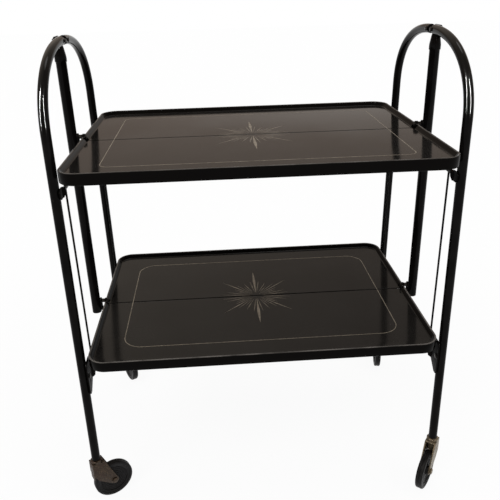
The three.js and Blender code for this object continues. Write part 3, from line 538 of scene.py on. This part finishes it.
def leg_path(tubes):
    """Points of the leg's centre line as (distance from the seam plane, height)."""
    points = []
    for i in range(STRAIGHT_RINGS):
        part = i / STRAIGHT_RINGS
        points.append((tubes.foot_y + (tubes.arch_y - tubes.foot_y) * part,
                       tubes.foot_z + (tubes.arch_z - tubes.foot_z) * part))
    last = math.acos((tubes.apex_end_y / tubes.arch_y) ** (1 / ARCH_ROUNDNESS))
    rise = tubes.apex_z - tubes.arch_z
    for i in range(ARCH_RINGS + 1):
        angle = last * i / ARCH_RINGS
        points.append((tubes.arch_y * math.cos(angle) ** ARCH_ROUNDNESS,
                       tubes.arch_z + rise * math.sin(angle) ** ARCH_ROUNDNESS))
    return points


def swept(bm, points, radius, x, sy, end_ease):
    """A round tube along points in a plane of constant x, with eased ends."""
    places = []
    for i, (y, z) in enumerate(points):
        before, after = points[max(i - 1, 0)], points[min(i + 1, len(points) - 1)]
        along = Vector((0, sy * (after[0] - before[0]), after[1] - before[1])).normalized()
        side = Vector((1, 0, 0))
        turn = Matrix((side, along.cross(side), along)).transposed().to_4x4()
        places.append((Matrix.Translation((x, SEAM_Y + sy * y, z)) @ turn, along))
    (first, first_way), (last, last_way) = places[0], places[-1]
    stations = [
        (first, radius - end_ease),
        (Matrix.Translation(first_way * end_ease) @ first, radius),
        *((place, radius) for place, _ in places[1:-1]),
        (Matrix.Translation(-last_way * end_ease) @ last, radius),
        (last, radius - end_ease),
    ]
    rings = [circle(bm, size, LEG_SIDES, place) for place, size in stations]
    bridged(bm, rings)
    capped(bm, rings[0], rings[-1])
    outward(bm)


def post_profile(tubes):
    """[radius, z] points of a post from the top of its head to the top of its bore."""
    cap = POST_HIGH - tubes.cap_height
    head = tubes.apex_z + tubes.head_rise
    crown, ease, wall = 1.2 * MM, 0.3 * MM, 1.6 * MM
    cone_low, cone_high = cap + 7 * MM, cap + 10 * MM
    bore_top = cap - 4 * MM
    return [
        (0, head),
        (tubes.head_radius - crown, head),
        (tubes.head_radius - 0.4 * MM, head - ease),
        (tubes.head_radius, head - crown),
        (tubes.head_foot_radius, tubes.apex_z - tubes.leg_radius - 0.5 * MM),
        (tubes.cap_top_radius, POST_HIGH - 2 * ease),
        (tubes.cap_radius - ease, cone_high),
        (tubes.cap_radius, cone_low),
        (tubes.cap_radius, cap + 2 * ease),
        (tubes.cap_radius - ease, cap),
        (tubes.post_radius + ease, cap - 0.4 * MM),
        (tubes.post_radius, cap - 1 * MM),
        (tubes.post_radius, POST_LOW + 0.5 * MM),
        (tubes.post_radius - 0.5 * MM, POST_LOW),
        (tubes.post_radius - wall, POST_LOW),
        (tubes.post_radius - wall, bore_top),
        (0, bore_top),
    ]


class TROLLEY_OT_tubes(bpy.types.Operator):
    """Bent leg tubes and the fixed posts with their caps"""
    bl_idname = "trolley.tubes"
    bl_label = "Legs and posts"

    def execute(self, context):
        tubes = context.scene.trolley_tubes
        points = leg_path(tubes)
        for corner, sx, sy in CORNERS:
            bm = bmesh.new()
            swept(bm, points, tubes.leg_radius, sx * LEG_X, sy, TUBE_END_EASE)
            piece(bm, f"{corner}_leg_tube", "enamel", f"{corner}_leg", (f"{corner}_leg",))
        profile = post_profile(tubes)
        for side, sx in SIDES:
            bm = turned(profile, POST_SIDES, Matrix.Translation((sx * POST_X, SEAM_Y, 0)))
            piece(bm, f"{side}_post_tube", "enamel", "frame", (f"{side}_post",))
        return {"FINISHED"}


# Trays


# From the serving surface over the rim and down the skirt to the underside:
# mm in from the edge of the tray, mm above the crest of the rim
PAN_PROFILE = [
    (9.8, -7.5), (8.8, -7.42), (8.0, -7.1), (7.3, -6.5), (4.3, -2.1), (3.7, -1.3),
    (3.1, -0.65), (2.4, -0.2), (1.5, 0.0), (0.8, -0.15), (0.25, -0.6), (0.0, -1.4),
    (0.0, -17.6), (0.2, -18.3), (0.7, -18.7), (1.6, -18.7), (2.1, -18.3), (2.2, -17.6),
    (2.2, -9.1),
]
SURFACE_DROP = -PAN_PROFILE[0][1] * MM
SKIRT = PAN_PROFILE[-1][0] * MM
CORNER_STEPS = 16
SHEET_EASE = 0.35 * MM

# Notch that lets the rim pass the post, and the lip folded down at the seam
NOTCH_REACH = 9.1 * MM
NOTCH_MARGIN = 5 * MM
LIP_HALF_LENGTH = 286 * MM
LIP_THICKNESS = 1.6 * MM
LIP_TOP = 1.2 * MM
LIP_FOOT = 9.6 * MM

# Hinge ears and lugs: a disc round the pin, drawn out to the points of the spread,
# which are mm from the seam plane and mm above the crest of the rim
EYE_RADIUS = 5 * MM
EAR_SPREAD = ((2, -8.1), (17, -8.1), (9, -0.7))
EAR_THICKNESS = 2.2 * MM
REAR_EAR_INSET = 2.5 * MM
LUG_SPREAD = ((151, -15), (169, -15))
LUG_THICKNESS = 2.3 * MM
LUG_SUNK = 0.1 * MM
LUG_Y = 160 * MM
LUG_DROP = 33 * MM
LUG_PIN_RADIUS = 2 * MM
LUG_PIN_ROOT = 1.7 * MM
LUG_PIN_END = 301.8 * MM


def levels(tray):
    """Name, rim height, half depth and border radius of the two trays."""
    return (("top", tray.top_rim_z, tray.top_half_depth, tray.top_border_radius),
            ("lower", tray.lower_rim_z, tray.lower_half_depth, tray.lower_border_radius))


def rounded_ring(bm, half_x, half_y, radius, z):
    """A circle drawn out to a rounded rectangle about the seam centre.

    The corner it starts at decides how a flat is split in triangles, and so what it mirrors.
    """
    sides = 4 * (CORNER_STEPS + 1)
    half_step = math.pi / sides
    place = Matrix.Translation((0, SEAM_Y, z)) @ Matrix.Rotation(half_step + math.pi, 4, "Z")
    verts = bmesh.ops.create_circle(bm, cap_ends=False, radius=radius / math.cos(half_step),
                                    segments=sides, matrix=place)["verts"]
    for vert in verts:
        vert.co.x += math.copysign(half_x - radius, vert.co.x)
        vert.co.y += math.copysign(half_y - radius, vert.co.y - SEAM_Y)
    return ring_edges(verts)


def kept_half(bm, sy, gap):
    """Cuts the mesh at the seam and closes the cut."""
    cut = cut_along_y(bm, SEAM_Y + sy * gap / 2, keep=sy)
    edges = [e for e in cut["geom_cut"] if isinstance(e, bmesh.types.BMEdge)]
    bmesh.ops.triangle_fill(bm, use_beauty=True, edges=edges)


def block(bm, low, high):
    """A box between two corners."""
    centre = [(a + b) / 2 for a, b in zip(low, high)]
    size = [b - a for a, b in zip(low, high)]
    place = Matrix.Translation(centre) @ Matrix.Diagonal((*size, 1))
    return bmesh.ops.create_cube(bm, size=1.0, matrix=place)["verts"]


def carved(bm, cutters):
    """Subtracts the cutters with a Boolean modifier and returns the result."""
    objects = []
    for source in (bm, cutters):
        mesh = bpy.data.meshes.new("carving")
        source.to_mesh(mesh)
        source.free()
        made = bpy.data.objects.new("carving", mesh)
        bpy.context.collection.objects.link(made)
        objects.append(made)
    body, tool = objects
    modifier = body.modifiers.new("cut", "BOOLEAN")
    modifier.operation = "DIFFERENCE"
    modifier.solver = "EXACT"
    modifier.object = tool
    result = bmesh.new()
    result.from_object(body, bpy.context.evaluated_depsgraph_get())
    for made in objects:
        mesh = made.data
        bpy.data.objects.remove(made)
        bpy.data.meshes.remove(mesh)
    return result


def plate_x(bm, outline, x0, x1, ease):
    """A plate thick along X from an outline of (y, z) points, with eased rims."""
    verts = [bm.verts.new((x0, SEAM_Y + y, z)) for y, z in outline]
    moved = pushed(bm, [bm.faces.new(verts)], (x1 - x0, 0, 0))
    rims = [e for e in edges_at(moved + verts)
            if abs(e.verts[0].co.x - e.verts[1].co.x) < WELD]
    eased(bm, rims, ease)


def peg_x(bm, radius, x0, x1, y, z, sides=24):
    turn = Matrix.Rotation(math.pi / 2, 4, "Y")
    bmesh.ops.create_cone(
        bm, cap_ends=True, cap_tris=False, segments=sides, radius1=radius, radius2=radius,
        depth=x1 - x0, matrix=Matrix.Translation(((x0 + x1) / 2, SEAM_Y + y, z)) @ turn)


def turn_of(a, b, c):
    """Above 0 where the path from a over b to c turns left."""
    return (b[0] - a[0]) * (c[1] - a[1]) - (b[1] - a[1]) * (c[0] - a[0])


def band_round(points):
    """The convex outline round the points, anticlockwise."""

    def chain(run):
        kept = []
        for p in run:
            while len(kept) > 1 and turn_of(kept[-2], kept[-1], p) <= 0:
                kept.pop()
            kept.append(p)
        return kept[:-1]

    ordered = sorted(points)
    return chain(ordered) + chain(ordered[::-1])


def disc(y, z, radius, count=28):
    angles = [math.tau * i / count for i in range(count)]
    return [(y + radius * math.cos(a), z + radius * math.sin(a)) for a in angles]


def eye(y, z, spread, rim_z):
    """Points of a hinge ear or lug whose pin is at y and z."""
    return disc(y, z, EYE_RADIUS) + [(away * MM, rim_z + up * MM) for away, up in spread]


class TROLLEY_OT_trays(bpy.types.Operator):
    """The four tray halves with rolled rims, hinge ears, lugs and lug pins"""
    bl_idname = "trolley.trays"
    bl_label = "Tray halves"

    def execute(self, context):
        tray = context.scene.trolley_trays
        for level, rim_z, depth, _ in levels(tray):
            for end, sy in ENDS:
                self.half(tray, f"{level}_{end}", rim_z, depth, end, sy)
        return {"FINISHED"}

    def half(self, tray, name, rim_z, depth, end, sy):
        surface = rim_z - SURFACE_DROP
        bm = self.notched(self.pan(tray, rim_z, depth, sy), tray, surface, rim_z)
        self.ease_seam(bm, tray, surface, sy)
        lip = sorted(sy * (tray.seam_gap / 2 + reach) for reach in (0, LIP_THICKNESS))
        block(bm, (-LIP_HALF_LENGTH, SEAM_Y + lip[0], surface - LIP_FOOT),
              (LIP_HALF_LENGTH, SEAM_Y + lip[1], surface - LIP_TOP))
        self.hinge_eyes(bm, tray, rim_z, end, sy)
        bmesh.ops.recalc_face_normals(bm, faces=bm.faces)
        piece(bm, f"{name}_pan", "tray", f"{name}_leaf", (f"{name}_tray",),
              smooth=PAN_SMOOTH_ANGLE)

    def pan(self, tray, rim_z, depth, sy):
        """Half of the pressed sheet, closed at the seam."""
        bm = bmesh.new()
        rings = []
        for inset, rise in PAN_PROFILE:
            inset *= MM
            rings.append(rounded_ring(bm, tray.half_length - inset, depth - inset,
                                      tray.corner_radius - inset, rim_z + rise * MM))
        bridged(bm, rings)
        capped(bm, rings[0], rings[-1])
        outward(bm)
        kept_half(bm, sy, tray.seam_gap)
        outward(bm)
        return bm

    def notched(self, bm, tray, surface, rim_z):
        """Takes the rim away beside the posts."""
        cutters = bmesh.new()
        for sx in (-1, 1):
            inner, outer = sorted((sx * (tray.half_length - NOTCH_REACH),
                                   sx * (tray.half_length + NOTCH_MARGIN)))
            block(cutters, (inner, SEAM_Y - tray.notch_half_width, surface + HAIR),
                  (outer, SEAM_Y + tray.notch_half_width, rim_z + NOTCH_MARGIN))
        return carved(bm, cutters)

    def ease_seam(self, bm, tray, surface, sy):
        """Rounds the edge where the sheet folds down at the seam."""
        edge_y = SEAM_Y + sy * tray.seam_gap / 2
        cut_along_y(bm, edge_y + sy * 2 * tray.seam_ease)
        near = 1e-6
        fold = [e for e in bm.edges if all(
            abs(v.co.y - edge_y) < near and abs(v.co.z - surface) < near for v in e.verts)]
        eased(bm, fold, tray.seam_ease, segments=3, clamp=False)

    def hinge_eyes(self, bm, tray, rim_z, end, sy):
        """Ears on the seam pins, lugs below the skirt and the pins in the lugs."""
        ear_face = tray.half_length - (0 if end == "front" else REAR_EAR_INSET)
        skirt_face = tray.half_length - SKIRT
        lug_z = rim_z - LUG_DROP
        plates = (
            (eye(0, rim_z, EAR_SPREAD, rim_z), ear_face - EAR_THICKNESS, ear_face),
            (eye(LUG_Y, lug_z, LUG_SPREAD, rim_z),
             skirt_face - LUG_THICKNESS, skirt_face + LUG_SUNK),
        )
        for sx in (-1, 1):
            for outline, inner, outer in plates:
                x0, x1 = sorted((sx * inner, sx * outer))
                outline = band_round([(sy * y, z) for y, z in outline])
                plate_x(bm, outline, x0, x1, SHEET_EASE)
            x0, x1 = sorted((sx * (skirt_face - LUG_PIN_ROOT), sx * LUG_PIN_END))
            peg_x(bm, LUG_PIN_RADIUS, x0, x1, sy * LUG_Y, lug_z)


# Painted lines


# Degrees from the seam, mm from the centre to the start and to the tip, mm wide
BRIGHT_RAYS = [(90, 14, 104, 5.4), (44, 9, 90, 2.0)]
FADED_RAYS = [
    (8, 12, 68, 2.6), (18, 14, 62, 2.4), (28, 14, 46, 1.8), (36, 14, 54, 2.0),
    (52, 14, 62, 2.0), (60, 14, 46, 1.6), (68, 14, 58, 2.2), (82, 12, 64, 2.2),
]
# Share of a ray's length, share of its width
RAY_SHAPE = ((0.0, 0.10), (0.25, 0.45), (0.55, 1.0), (0.72, 0.72), (0.88, 0.34), (1.0, 0.06))
BORDER_STOP = 0.6 * MM


class TROLLEY_OT_lines(bpy.types.Operator):
    """Painted border and starburst on each tray half"""
    bl_idname = "trolley.lines"
    bl_label = "Painted lines"

    def execute(self, context):
        tray = context.scene.trolley_trays
        for level, rim_z, depth, radius in levels(tray):
            surface = rim_z - SURFACE_DROP
            for end, sy in ENDS:
                name = f"{level}_{end}"
                for part, kind, bm in (
                        ("border", "paint", self.border(tray, surface, depth, radius, sy)),
                        ("star", "paint", self.star(tray, surface, sy, BRIGHT_RAYS)),
                        ("fans", "faded", self.star(tray, surface, sy, FADED_RAYS))):
                    piece(bm, f"{name}_{part}", kind, f"{name}_leaf")
        return {"FINISHED"}

    def raised(self, bm, faces, tray):
        """Gives painted faces, which start a hair below the surface, their height."""
        pushed(bm, faces, (0, 0, tray.paint_height + HAIR))

    def border(self, tray, surface, depth, radius, sy):
        bm = bmesh.new()
        ring = rounded_ring(bm, tray.half_length - tray.border_inset,
                            depth - tray.border_inset, radius, surface - HAIR)
        inside = bmesh.ops.edgeloop_fill(bm, edges=ring)["faces"]
        bmesh.ops.inset_region(bm, faces=inside, thickness=tray.border_width,
                               use_boundary=True, use_even_offset=True)
        bmesh.ops.delete(bm, geom=inside, context="FACES")
        cut_along_y(bm, SEAM_Y + sy * BORDER_STOP, keep=sy)
        self.raised(bm, bm.faces[:], tray)
        outward(bm)
        return bm

    def star(self, tray, surface, sy, rays):
        """This half's share of the star: each ray once, or once to each side."""
        bm = bmesh.new()
        centre = Vector((0, SEAM_Y, surface - HAIR))
        for angle, start, reach, width in rays:
            turn = math.radians(angle)
            for sx in ((1,) if angle == 90 else (1, -1)):
                along = Vector((sx * math.cos(turn), sy * math.sin(turn), 0))
                across = Vector((-along.y, along.x, 0))
                pairs = []
                for part, wide in RAY_SHAPE:
                    spot = along * (start + (reach - start) * part) * MM
                    half = across * (width * wide / 2) * MM
                    pairs.append([bm.verts.new(centre + p) for p in (spot - half, spot + half)])
                faces = [bm.faces.new((a[0], b[0], b[1], a[1]))
                         for a, b in zip(pairs, pairs[1:])]
                self.raised(bm, faces, tray)
        bmesh.ops.recalc_face_normals(bm, faces=bm.faces)
        return bm


# Plates, pins and rods


PLATE_EASE = 0.4 * MM
ROD_EASE = 0.3 * MM
CHEEK_EYE_RADIUS = 6.8 * MM
CHEEK_FOOT_RADIUS = 8 * MM


class TROLLEY_OT_fittings(bpy.types.Operator):
    """Brackets, gussets, pins, rivets and link rods"""
    bl_idname = "trolley.fittings"
    bl_label = "Fittings"

    def execute(self, context):
        tubes = context.scene.trolley_tubes
        for side, sx in SIDES:
            self.apex_fold(tubes, side, sx)
            for level in ("top", "lower"):
                seam = f"{side}_{level}_seam"
                self.fitting(seam, "plate", "bracket", "plates", "frame")
                self.fitting(seam, "pivot", "pin", "pins", "frame")
        for corner, _, _ in CORNERS:
            leg = f"{corner}_leg"
            self.fitting(corner, "apex_rivet", "apex_pin", "pins", "frame")
            self.fitting(corner, "saddle_plate", "leg_bracket", "plates", leg)
            self.fitting(corner, "gusset_plate", "gusset", "plates", leg)
            self.fitting(corner, "gusset_stud", "gusset_rivet", "pins", leg, ROD_EASE)
            self.fitting(corner, "tie", "link_rod", "enamel", f"{corner}_link", ROD_EASE)
        return {"FINISHED"}

    def fitting(self, place, name, source, kind, body, ease=PLATE_EASE):
        softened(f"{place}_{name}", f"{place}_{source}", kind, body, ease)

    def apex_fold(self, tubes, side, sx):
        """Sheet behind the ends of the two leg tubes, in which their pivots sit."""
        low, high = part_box(f"{side}_apex_bracket")
        outer = max(abs(low[0]), abs(high[0]))
        inner = outer - tubes.cheek_thickness
        outline = disc(0, POST_HIGH, CHEEK_FOOT_RADIUS)
        for sy in (-1, 1):
            outline += disc(sy * tubes.pivot_y, tubes.apex_z, CHEEK_EYE_RADIUS)
        bm = bmesh.new()
        plate_x(bm, band_round(outline), *sorted((sx * inner, sx * outer)), PLATE_EASE)
        bmesh.ops.recalc_face_normals(bm, faces=bm.faces)
        piece(bm, f"{side}_apex_fold", "plates", "frame", (f"{side}_apex_bracket",))


# Casters


RIB_COUNT = 4
WHEEL_STEPS = 64
FORK_EASE = 0.5 * MM
COLLAR_EASE = 0.4 * MM

# The web behind the king pin; it and the dust cap are sunk into the fork's sheet
WEB_NEAR = 9.0 * MM
WEB_FAR = 10.6 * MM
SUNK = 1 * MM
CAP_SIDES = 28
CAP_TAPER = 0.8


def wheel_ribs(casters, first, last, face):
    """Points of the round ribs that share out the disc between two radii."""
    pitch = (last - first) / RIB_COUNT
    foot, crest = 1.1 * MM, 0.4 * MM
    points = []
    for i in range(RIB_COUNT):
        mid = first + (i + 0.5) * pitch
        points += [
            (mid - foot, face),
            (mid - crest, face + casters.rib_height),
            (mid + crest, face + casters.rib_height),
            (mid + foot, face),
        ]
    return points


def wheel_profile(casters):
    """[radius, half width] points of one side from the bore to the middle of the tread."""
    half = casters.wheel_width / 2
    rim = casters.wheel_radius
    hub, hub_face = casters.hub_radius, casters.hub_width / 2
    step = rim - casters.tyre_depth
    face = half - casters.disc_drop
    disc_first, disc_last = hub + 1.2 * MM, step - 5.2 * MM
    return [
        (casters.bore_radius, hub_face - 0.3 * MM),
        (casters.bore_radius + 0.4 * MM, hub_face),
        (hub - 0.6 * MM, hub_face),
        (hub, hub_face - 0.5 * MM),
        (hub + 0.4 * MM, face + 0.3 * MM),
        (disc_first, face),
        *wheel_ribs(casters, disc_first, disc_last, face),
        (disc_last, face),
        (step - 4.3 * MM, face + 0.3 * MM),
        (step - 4.0 * MM, half - 1.6 * MM),
        (step - 3.4 * MM, half - 1.2 * MM),
        (step - 0.5 * MM, half - 1.2 * MM),
        (step - 0.1 * MM, half - 0.9 * MM),
        (step + 0.1 * MM, half - 0.3 * MM),
        (step + 0.7 * MM, half),
        (rim - 2.3 * MM, half),
        (rim - 1.2 * MM, half - 0.3 * MM),
        (rim - 0.4 * MM, half - 1.1 * MM),
        (rim, half - 2.2 * MM),
        (rim, 1.2 * MM),
        (rim - 0.3 * MM, 0.9 * MM),
        (rim - casters.groove_depth, 0.5 * MM),
    ]


def joint(name):
    """A joint's row in the record, which holds its place and axis at rest."""
    return next(j for j in frame["record"]["behaviour"]["joints"] if j["name"] == name)


class TROLLEY_OT_casters(bpy.types.Operator):
    """Wheels, forks, axles and collars of the four casters"""
    bl_idname = "trolley.casters"
    bl_label = "Casters"

    def execute(self, context):
        casters = context.scene.trolley_casters
        for corner, sx, _ in CORNERS:
            self.wheel(casters, corner)
            # Right casters get the lit copy of the brass, left ones the darker copy: painted light
            # and shade
            metal = "brass" if sx > 0 else "shaded_brass"
            for name, source, body, ease, added in (
                    ("fork_sheet", "fork", "caster", FORK_EASE,
                     lambda bm: self.web(casters, corner, bm)),
                    ("axle_bolt", "axle", "caster", FORK_EASE, None),
                    ("collar", "caster_stem", "leg", COLLAR_EASE, None)):
                softened(f"{corner}_{name}", f"{corner}_{source}", metal, f"{corner}_{body}",
                         ease, added)
        return {"FINISHED"}

    def web(self, casters, corner, bm):
        """Closes the back of the fork between its cheeks and covers its king pin's head."""
        pivot = Vector(joint(f"{corner}_swivel")["pos_m"])
        hub = Vector(joint(f"{corner}_spin")["pos_m"])
        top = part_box(f"{corner}_fork")[1][2] - SUNK
        half = casters.hub_width / 2 + SUNK
        verts = block(bm, (-WEB_FAR, -half, top - casters.web_height), (-WEB_NEAR, half, top))
        crown = Matrix.Translation((0, 0, top - casters.cap_height / 2 - SUNK))
        verts += bmesh.ops.create_cone(
            bm, cap_ends=True, cap_tris=False, segments=CAP_SIDES,
            radius1=casters.cap_radius * CAP_TAPER, radius2=casters.cap_radius,
            depth=casters.cap_height, matrix=crown)["verts"]
        turn = Matrix.Rotation(math.atan2(hub.y - pivot.y, hub.x - pivot.x), 4, "Z")
        bmesh.ops.transform(bm, matrix=Matrix.Translation((pivot.x, pivot.y, 0)) @ turn,
                            verts=verts)

    def wheel(self, casters, corner):
        side = wheel_profile(casters)
        loop = side + [(radius, -aside) for radius, aside in reversed(side)] + side[:1]
        axis = Vector(joint(f"{corner}_spin")["axis"]).normalized()
        turn = Vector((0, 0, 1)).rotation_difference(axis).to_matrix().to_4x4()
        place = Matrix.Translation(middle(f"{corner}_wheel")) @ turn
        piece(turned(loop, WHEEL_STEPS, place), f"{corner}_tyre", "rubber",
              f"{corner}_wheel", (f"{corner}_wheel",))


# Stage


FLOOR_HALF_SIZE = 12.0

# Light of the world on surfaces
WORLD_LIGHT = 0.6

# What mirrored rays see of a room. The fades are heights of a ray's unit direction,
# and for the ceiling and the slant of the wall also its X.
LEFT_CEILING = (0.800, 0.700, 0.590)
RIGHT_CEILING = (0.500, 0.430, 0.370)
ROOM = (0.410, 0.330, 0.275)
PALE_WALL = (1.0, 0.95, 0.9)
CEILING_FADE = (-0.2, 0.2)
ROOM_FADE = (0.24, 0.5)
WALL_FADE = (0.165, 0.212)
WALL_SHARE = 0.5
WALL_SLANT = -0.14
HORIZON_FADE = (0.06, 0.15)

# Name, direction toward it, degrees across and strength
SUNS = (
    ("key_sun", (-0.75, -0.95, 1.5), 25.0, 0.8),
    ("fill_sun", (1.1, -0.7, 1.2), 30.0, 0.3),
    ("rim_sun", (0.3, 0.7, 1.6), 20.0, 0.25),
)

# Name and degrees from straight in front, to the right
STRIPS = (("left_strip", -60.0), ("right_strip", 28.0))
STRIP_WATTS = 900.0
STRIP_WIDTH = 0.09
STRIP_LENGTH = 2.4
STRIP_DISTANCE = 2.3
STRIP_Z = 1.8
STRIP_AIM_Z = 0.7

# The photo's camera, from a fit to the trays, posts, legs and floor contacts
CAMERA_X = -68.52 * MM
CAMERA_Y = -1065.63 * MM
CAMERA_Z = 877.67 * MM
CAMERA_YAW = 3.1412
CAMERA_PITCH = 24.0
CAMERA_ROLL = -1.541
SENSOR_WIDTH = 36
FOCAL_PIXELS = 605.92
PICTURE_PIXELS = 500


class TROLLEY_OT_stage(bpy.types.Operator):
    """Floor, world, lamps and camera"""
    bl_idname = "trolley.stage"
    bl_label = "Stage"

    def execute(self, context):
        scene = context.scene
        self.floor(tuple(scene.trolley_colours.floor))
        self.world(scene)
        self.lamps()
        self.camera(scene)
        scene.view_settings.view_transform = "Standard"
        return {"FINISHED"}

    def placed(self, name, data):
        made = bpy.data.objects.new(name, data)
        bpy.context.collection.objects.link(made)
        return made

    def floor(self, tone):
        bm = bmesh.new()
        bmesh.ops.create_grid(bm, x_segments=1, y_segments=1, size=FLOOR_HALF_SIZE)
        mesh = bpy.data.meshes.new("floor")
        bm.to_mesh(mesh)
        bm.free()
        mesh.materials.append(background_material("pale_floor", tone))
        self.placed("floor", mesh)

    def world(self, scene):
        """White where a ray lights or is seen directly, a room where it mirrors."""
        world = bpy.data.worlds.new("studio")
        world.use_nodes = True
        scene.world = world
        tree = world.node_tree
        lit = tree.nodes["Background"]
        connect(tree, lit, {"Color": (*WHITE, 1.0), "Strength": WORLD_LIGHT})
        direction = node(tree, "ShaderNodeTexCoord").outputs["Generated"]
        height = coordinate(tree, direction, "Z")
        aside = coordinate(tree, direction, "X")
        slanted = calc(tree, "MULTIPLY_ADD", aside, WALL_SLANT, height)
        ceiling = mixed(tree, share(tree, aside, *CEILING_FADE), LEFT_CEILING, RIGHT_CEILING)
        room = mixed(tree, share(tree, height, *ROOM_FADE), ROOM, ceiling)
        lit_wall = ranged(tree, slanted, *WALL_FADE, WALL_SHARE, 0.0)
        wall = mixed(tree, lit_wall, room, PALE_WALL)
        around = mixed(tree, share(tree, height, *HORIZON_FADE), WHITE, wall)
        camera_ray = node(tree, "ShaderNodeLightPath").outputs["Is Camera Ray"]
        shown = node(tree, "ShaderNodeBackground",
                     {"Color": mixed(tree, camera_ray, around, WHITE), "Strength": 1.0})
        whole = node(tree, "ShaderNodeMixShader",
                     {0: seen_directly(tree), 1: lit.outputs[0], 2: shown.outputs[0]})
        tree.links.new(whole.outputs[0], tree.nodes["World Output"].inputs["Surface"])

    def lamps(self):
        """Soft suns light the trolley; strips only draw the gloss lines of two tubes."""
        for name, toward, spread, energy in SUNS:
            data = bpy.data.lights.new(name, "SUN")
            data.angle = math.radians(spread)
            data.energy = energy
            self.hang(data, name, Vector(toward), Vector())
        glossy = bpy.data.collections.new("glossy_tubes")
        for side, _ in SIDES:
            glossy.objects.link(bpy.data.objects[f"{side}_front_leg_tube"])
        for name, azimuth in STRIPS:
            data = bpy.data.lights.new(name, "AREA")
            data.shape = "RECTANGLE"
            data.size = STRIP_WIDTH
            data.size_y = STRIP_LENGTH
            data.energy = STRIP_WATTS
            turn = math.radians(azimuth)
            place = Vector((STRIP_DISTANCE * math.sin(turn), -STRIP_DISTANCE * math.cos(turn),
                            STRIP_Z))
            strip = self.hang(data, name, place, Vector((0, 0, STRIP_AIM_Z)))
            strip.visible_diffuse = False
            strip.light_linking.receiver_collection = glossy

    def hang(self, data, name, place, target):
        lamp = self.placed(name, data)
        lamp.location = place
        lamp.rotation_euler = (target - place).to_track_quat("-Z", "Y").to_euler()
        return lamp

    def camera(self, scene):
        data = bpy.data.cameras.new("photo_camera")
        data.sensor_width = SENSOR_WIDTH
        data.lens = FOCAL_PIXELS / PICTURE_PIXELS * SENSOR_WIDTH
        yaw, pitch, roll = map(math.radians, (CAMERA_YAW, CAMERA_PITCH, CAMERA_ROLL))
        ahead = Vector((math.sin(yaw) * math.cos(pitch), math.cos(yaw) * math.cos(pitch),
                        -math.sin(pitch)))
        right = Vector((math.cos(yaw), -math.sin(yaw), 0))
        above = right.cross(ahead)
        turned_right = right * math.cos(roll) + above * math.sin(roll)
        turned_up = above * math.cos(roll) - right * math.sin(roll)
        turn = Matrix((turned_right, turned_up, -ahead)).transposed().to_4x4()
        scene.camera = self.placed("photo_camera", data)
        scene.camera.matrix_world = Matrix.Translation(
            (CAMERA_X, CAMERA_Y + SEAM_Y, CAMERA_Z)) @ turn


class TROLLEY_PT_panel(bpy.types.Panel):
    """Lists the trolley's sizes, colours and pieces"""
    bl_idname = "TROLLEY_PT_panel"
    bl_label = "Serving trolley"
    bl_space_type = "VIEW_3D"
    bl_region_type = "UI"
    bl_category = "Trolley"

    def draw(self, context):
        scene = context.scene
        for group in (getattr(scene, name) for name in GROUPS):
            box = self.layout.box()
            for name in group.bl_rna.properties.keys():
                if name not in {"rna_type", "name"}:
                    box.prop(group, name)
        for operator in OPERATORS:
            self.layout.operator(operator.bl_idname)


OPERATORS = (TROLLEY_OT_tubes, TROLLEY_OT_trays, TROLLEY_OT_lines, TROLLEY_OT_fittings,
             TROLLEY_OT_casters, TROLLEY_OT_stage)
GROUPS = {
    "trolley_tubes": TrolleyTubeSizes,
    "trolley_trays": TrolleyTraySizes,
    "trolley_casters": TrolleyCasterSizes,
    "trolley_colours": TrolleyColours,
}
CLASSES = (*GROUPS.values(), *OPERATORS, TROLLEY_PT_panel)


def register():
    for made in CLASSES:
        bpy.utils.register_class(made)
    for name, group in GROUPS.items():
        setattr(bpy.types.Scene, name, bpy.props.PointerProperty(type=group))


def unregister():
    for name in GROUPS:
        delattr(bpy.types.Scene, name)
    for made in reversed(CLASSES):
        bpy.utils.unregister_class(made)


def main():
    register()
    for operator in OPERATORS:
        family, name = operator.bl_idname.split(".")
        result = getattr(getattr(bpy.ops, family), name)()
        if result != {"FINISHED"}:
            raise RuntimeError(f"{operator.bl_idname} did not finish")


if __name__ == "__main__":
    main()
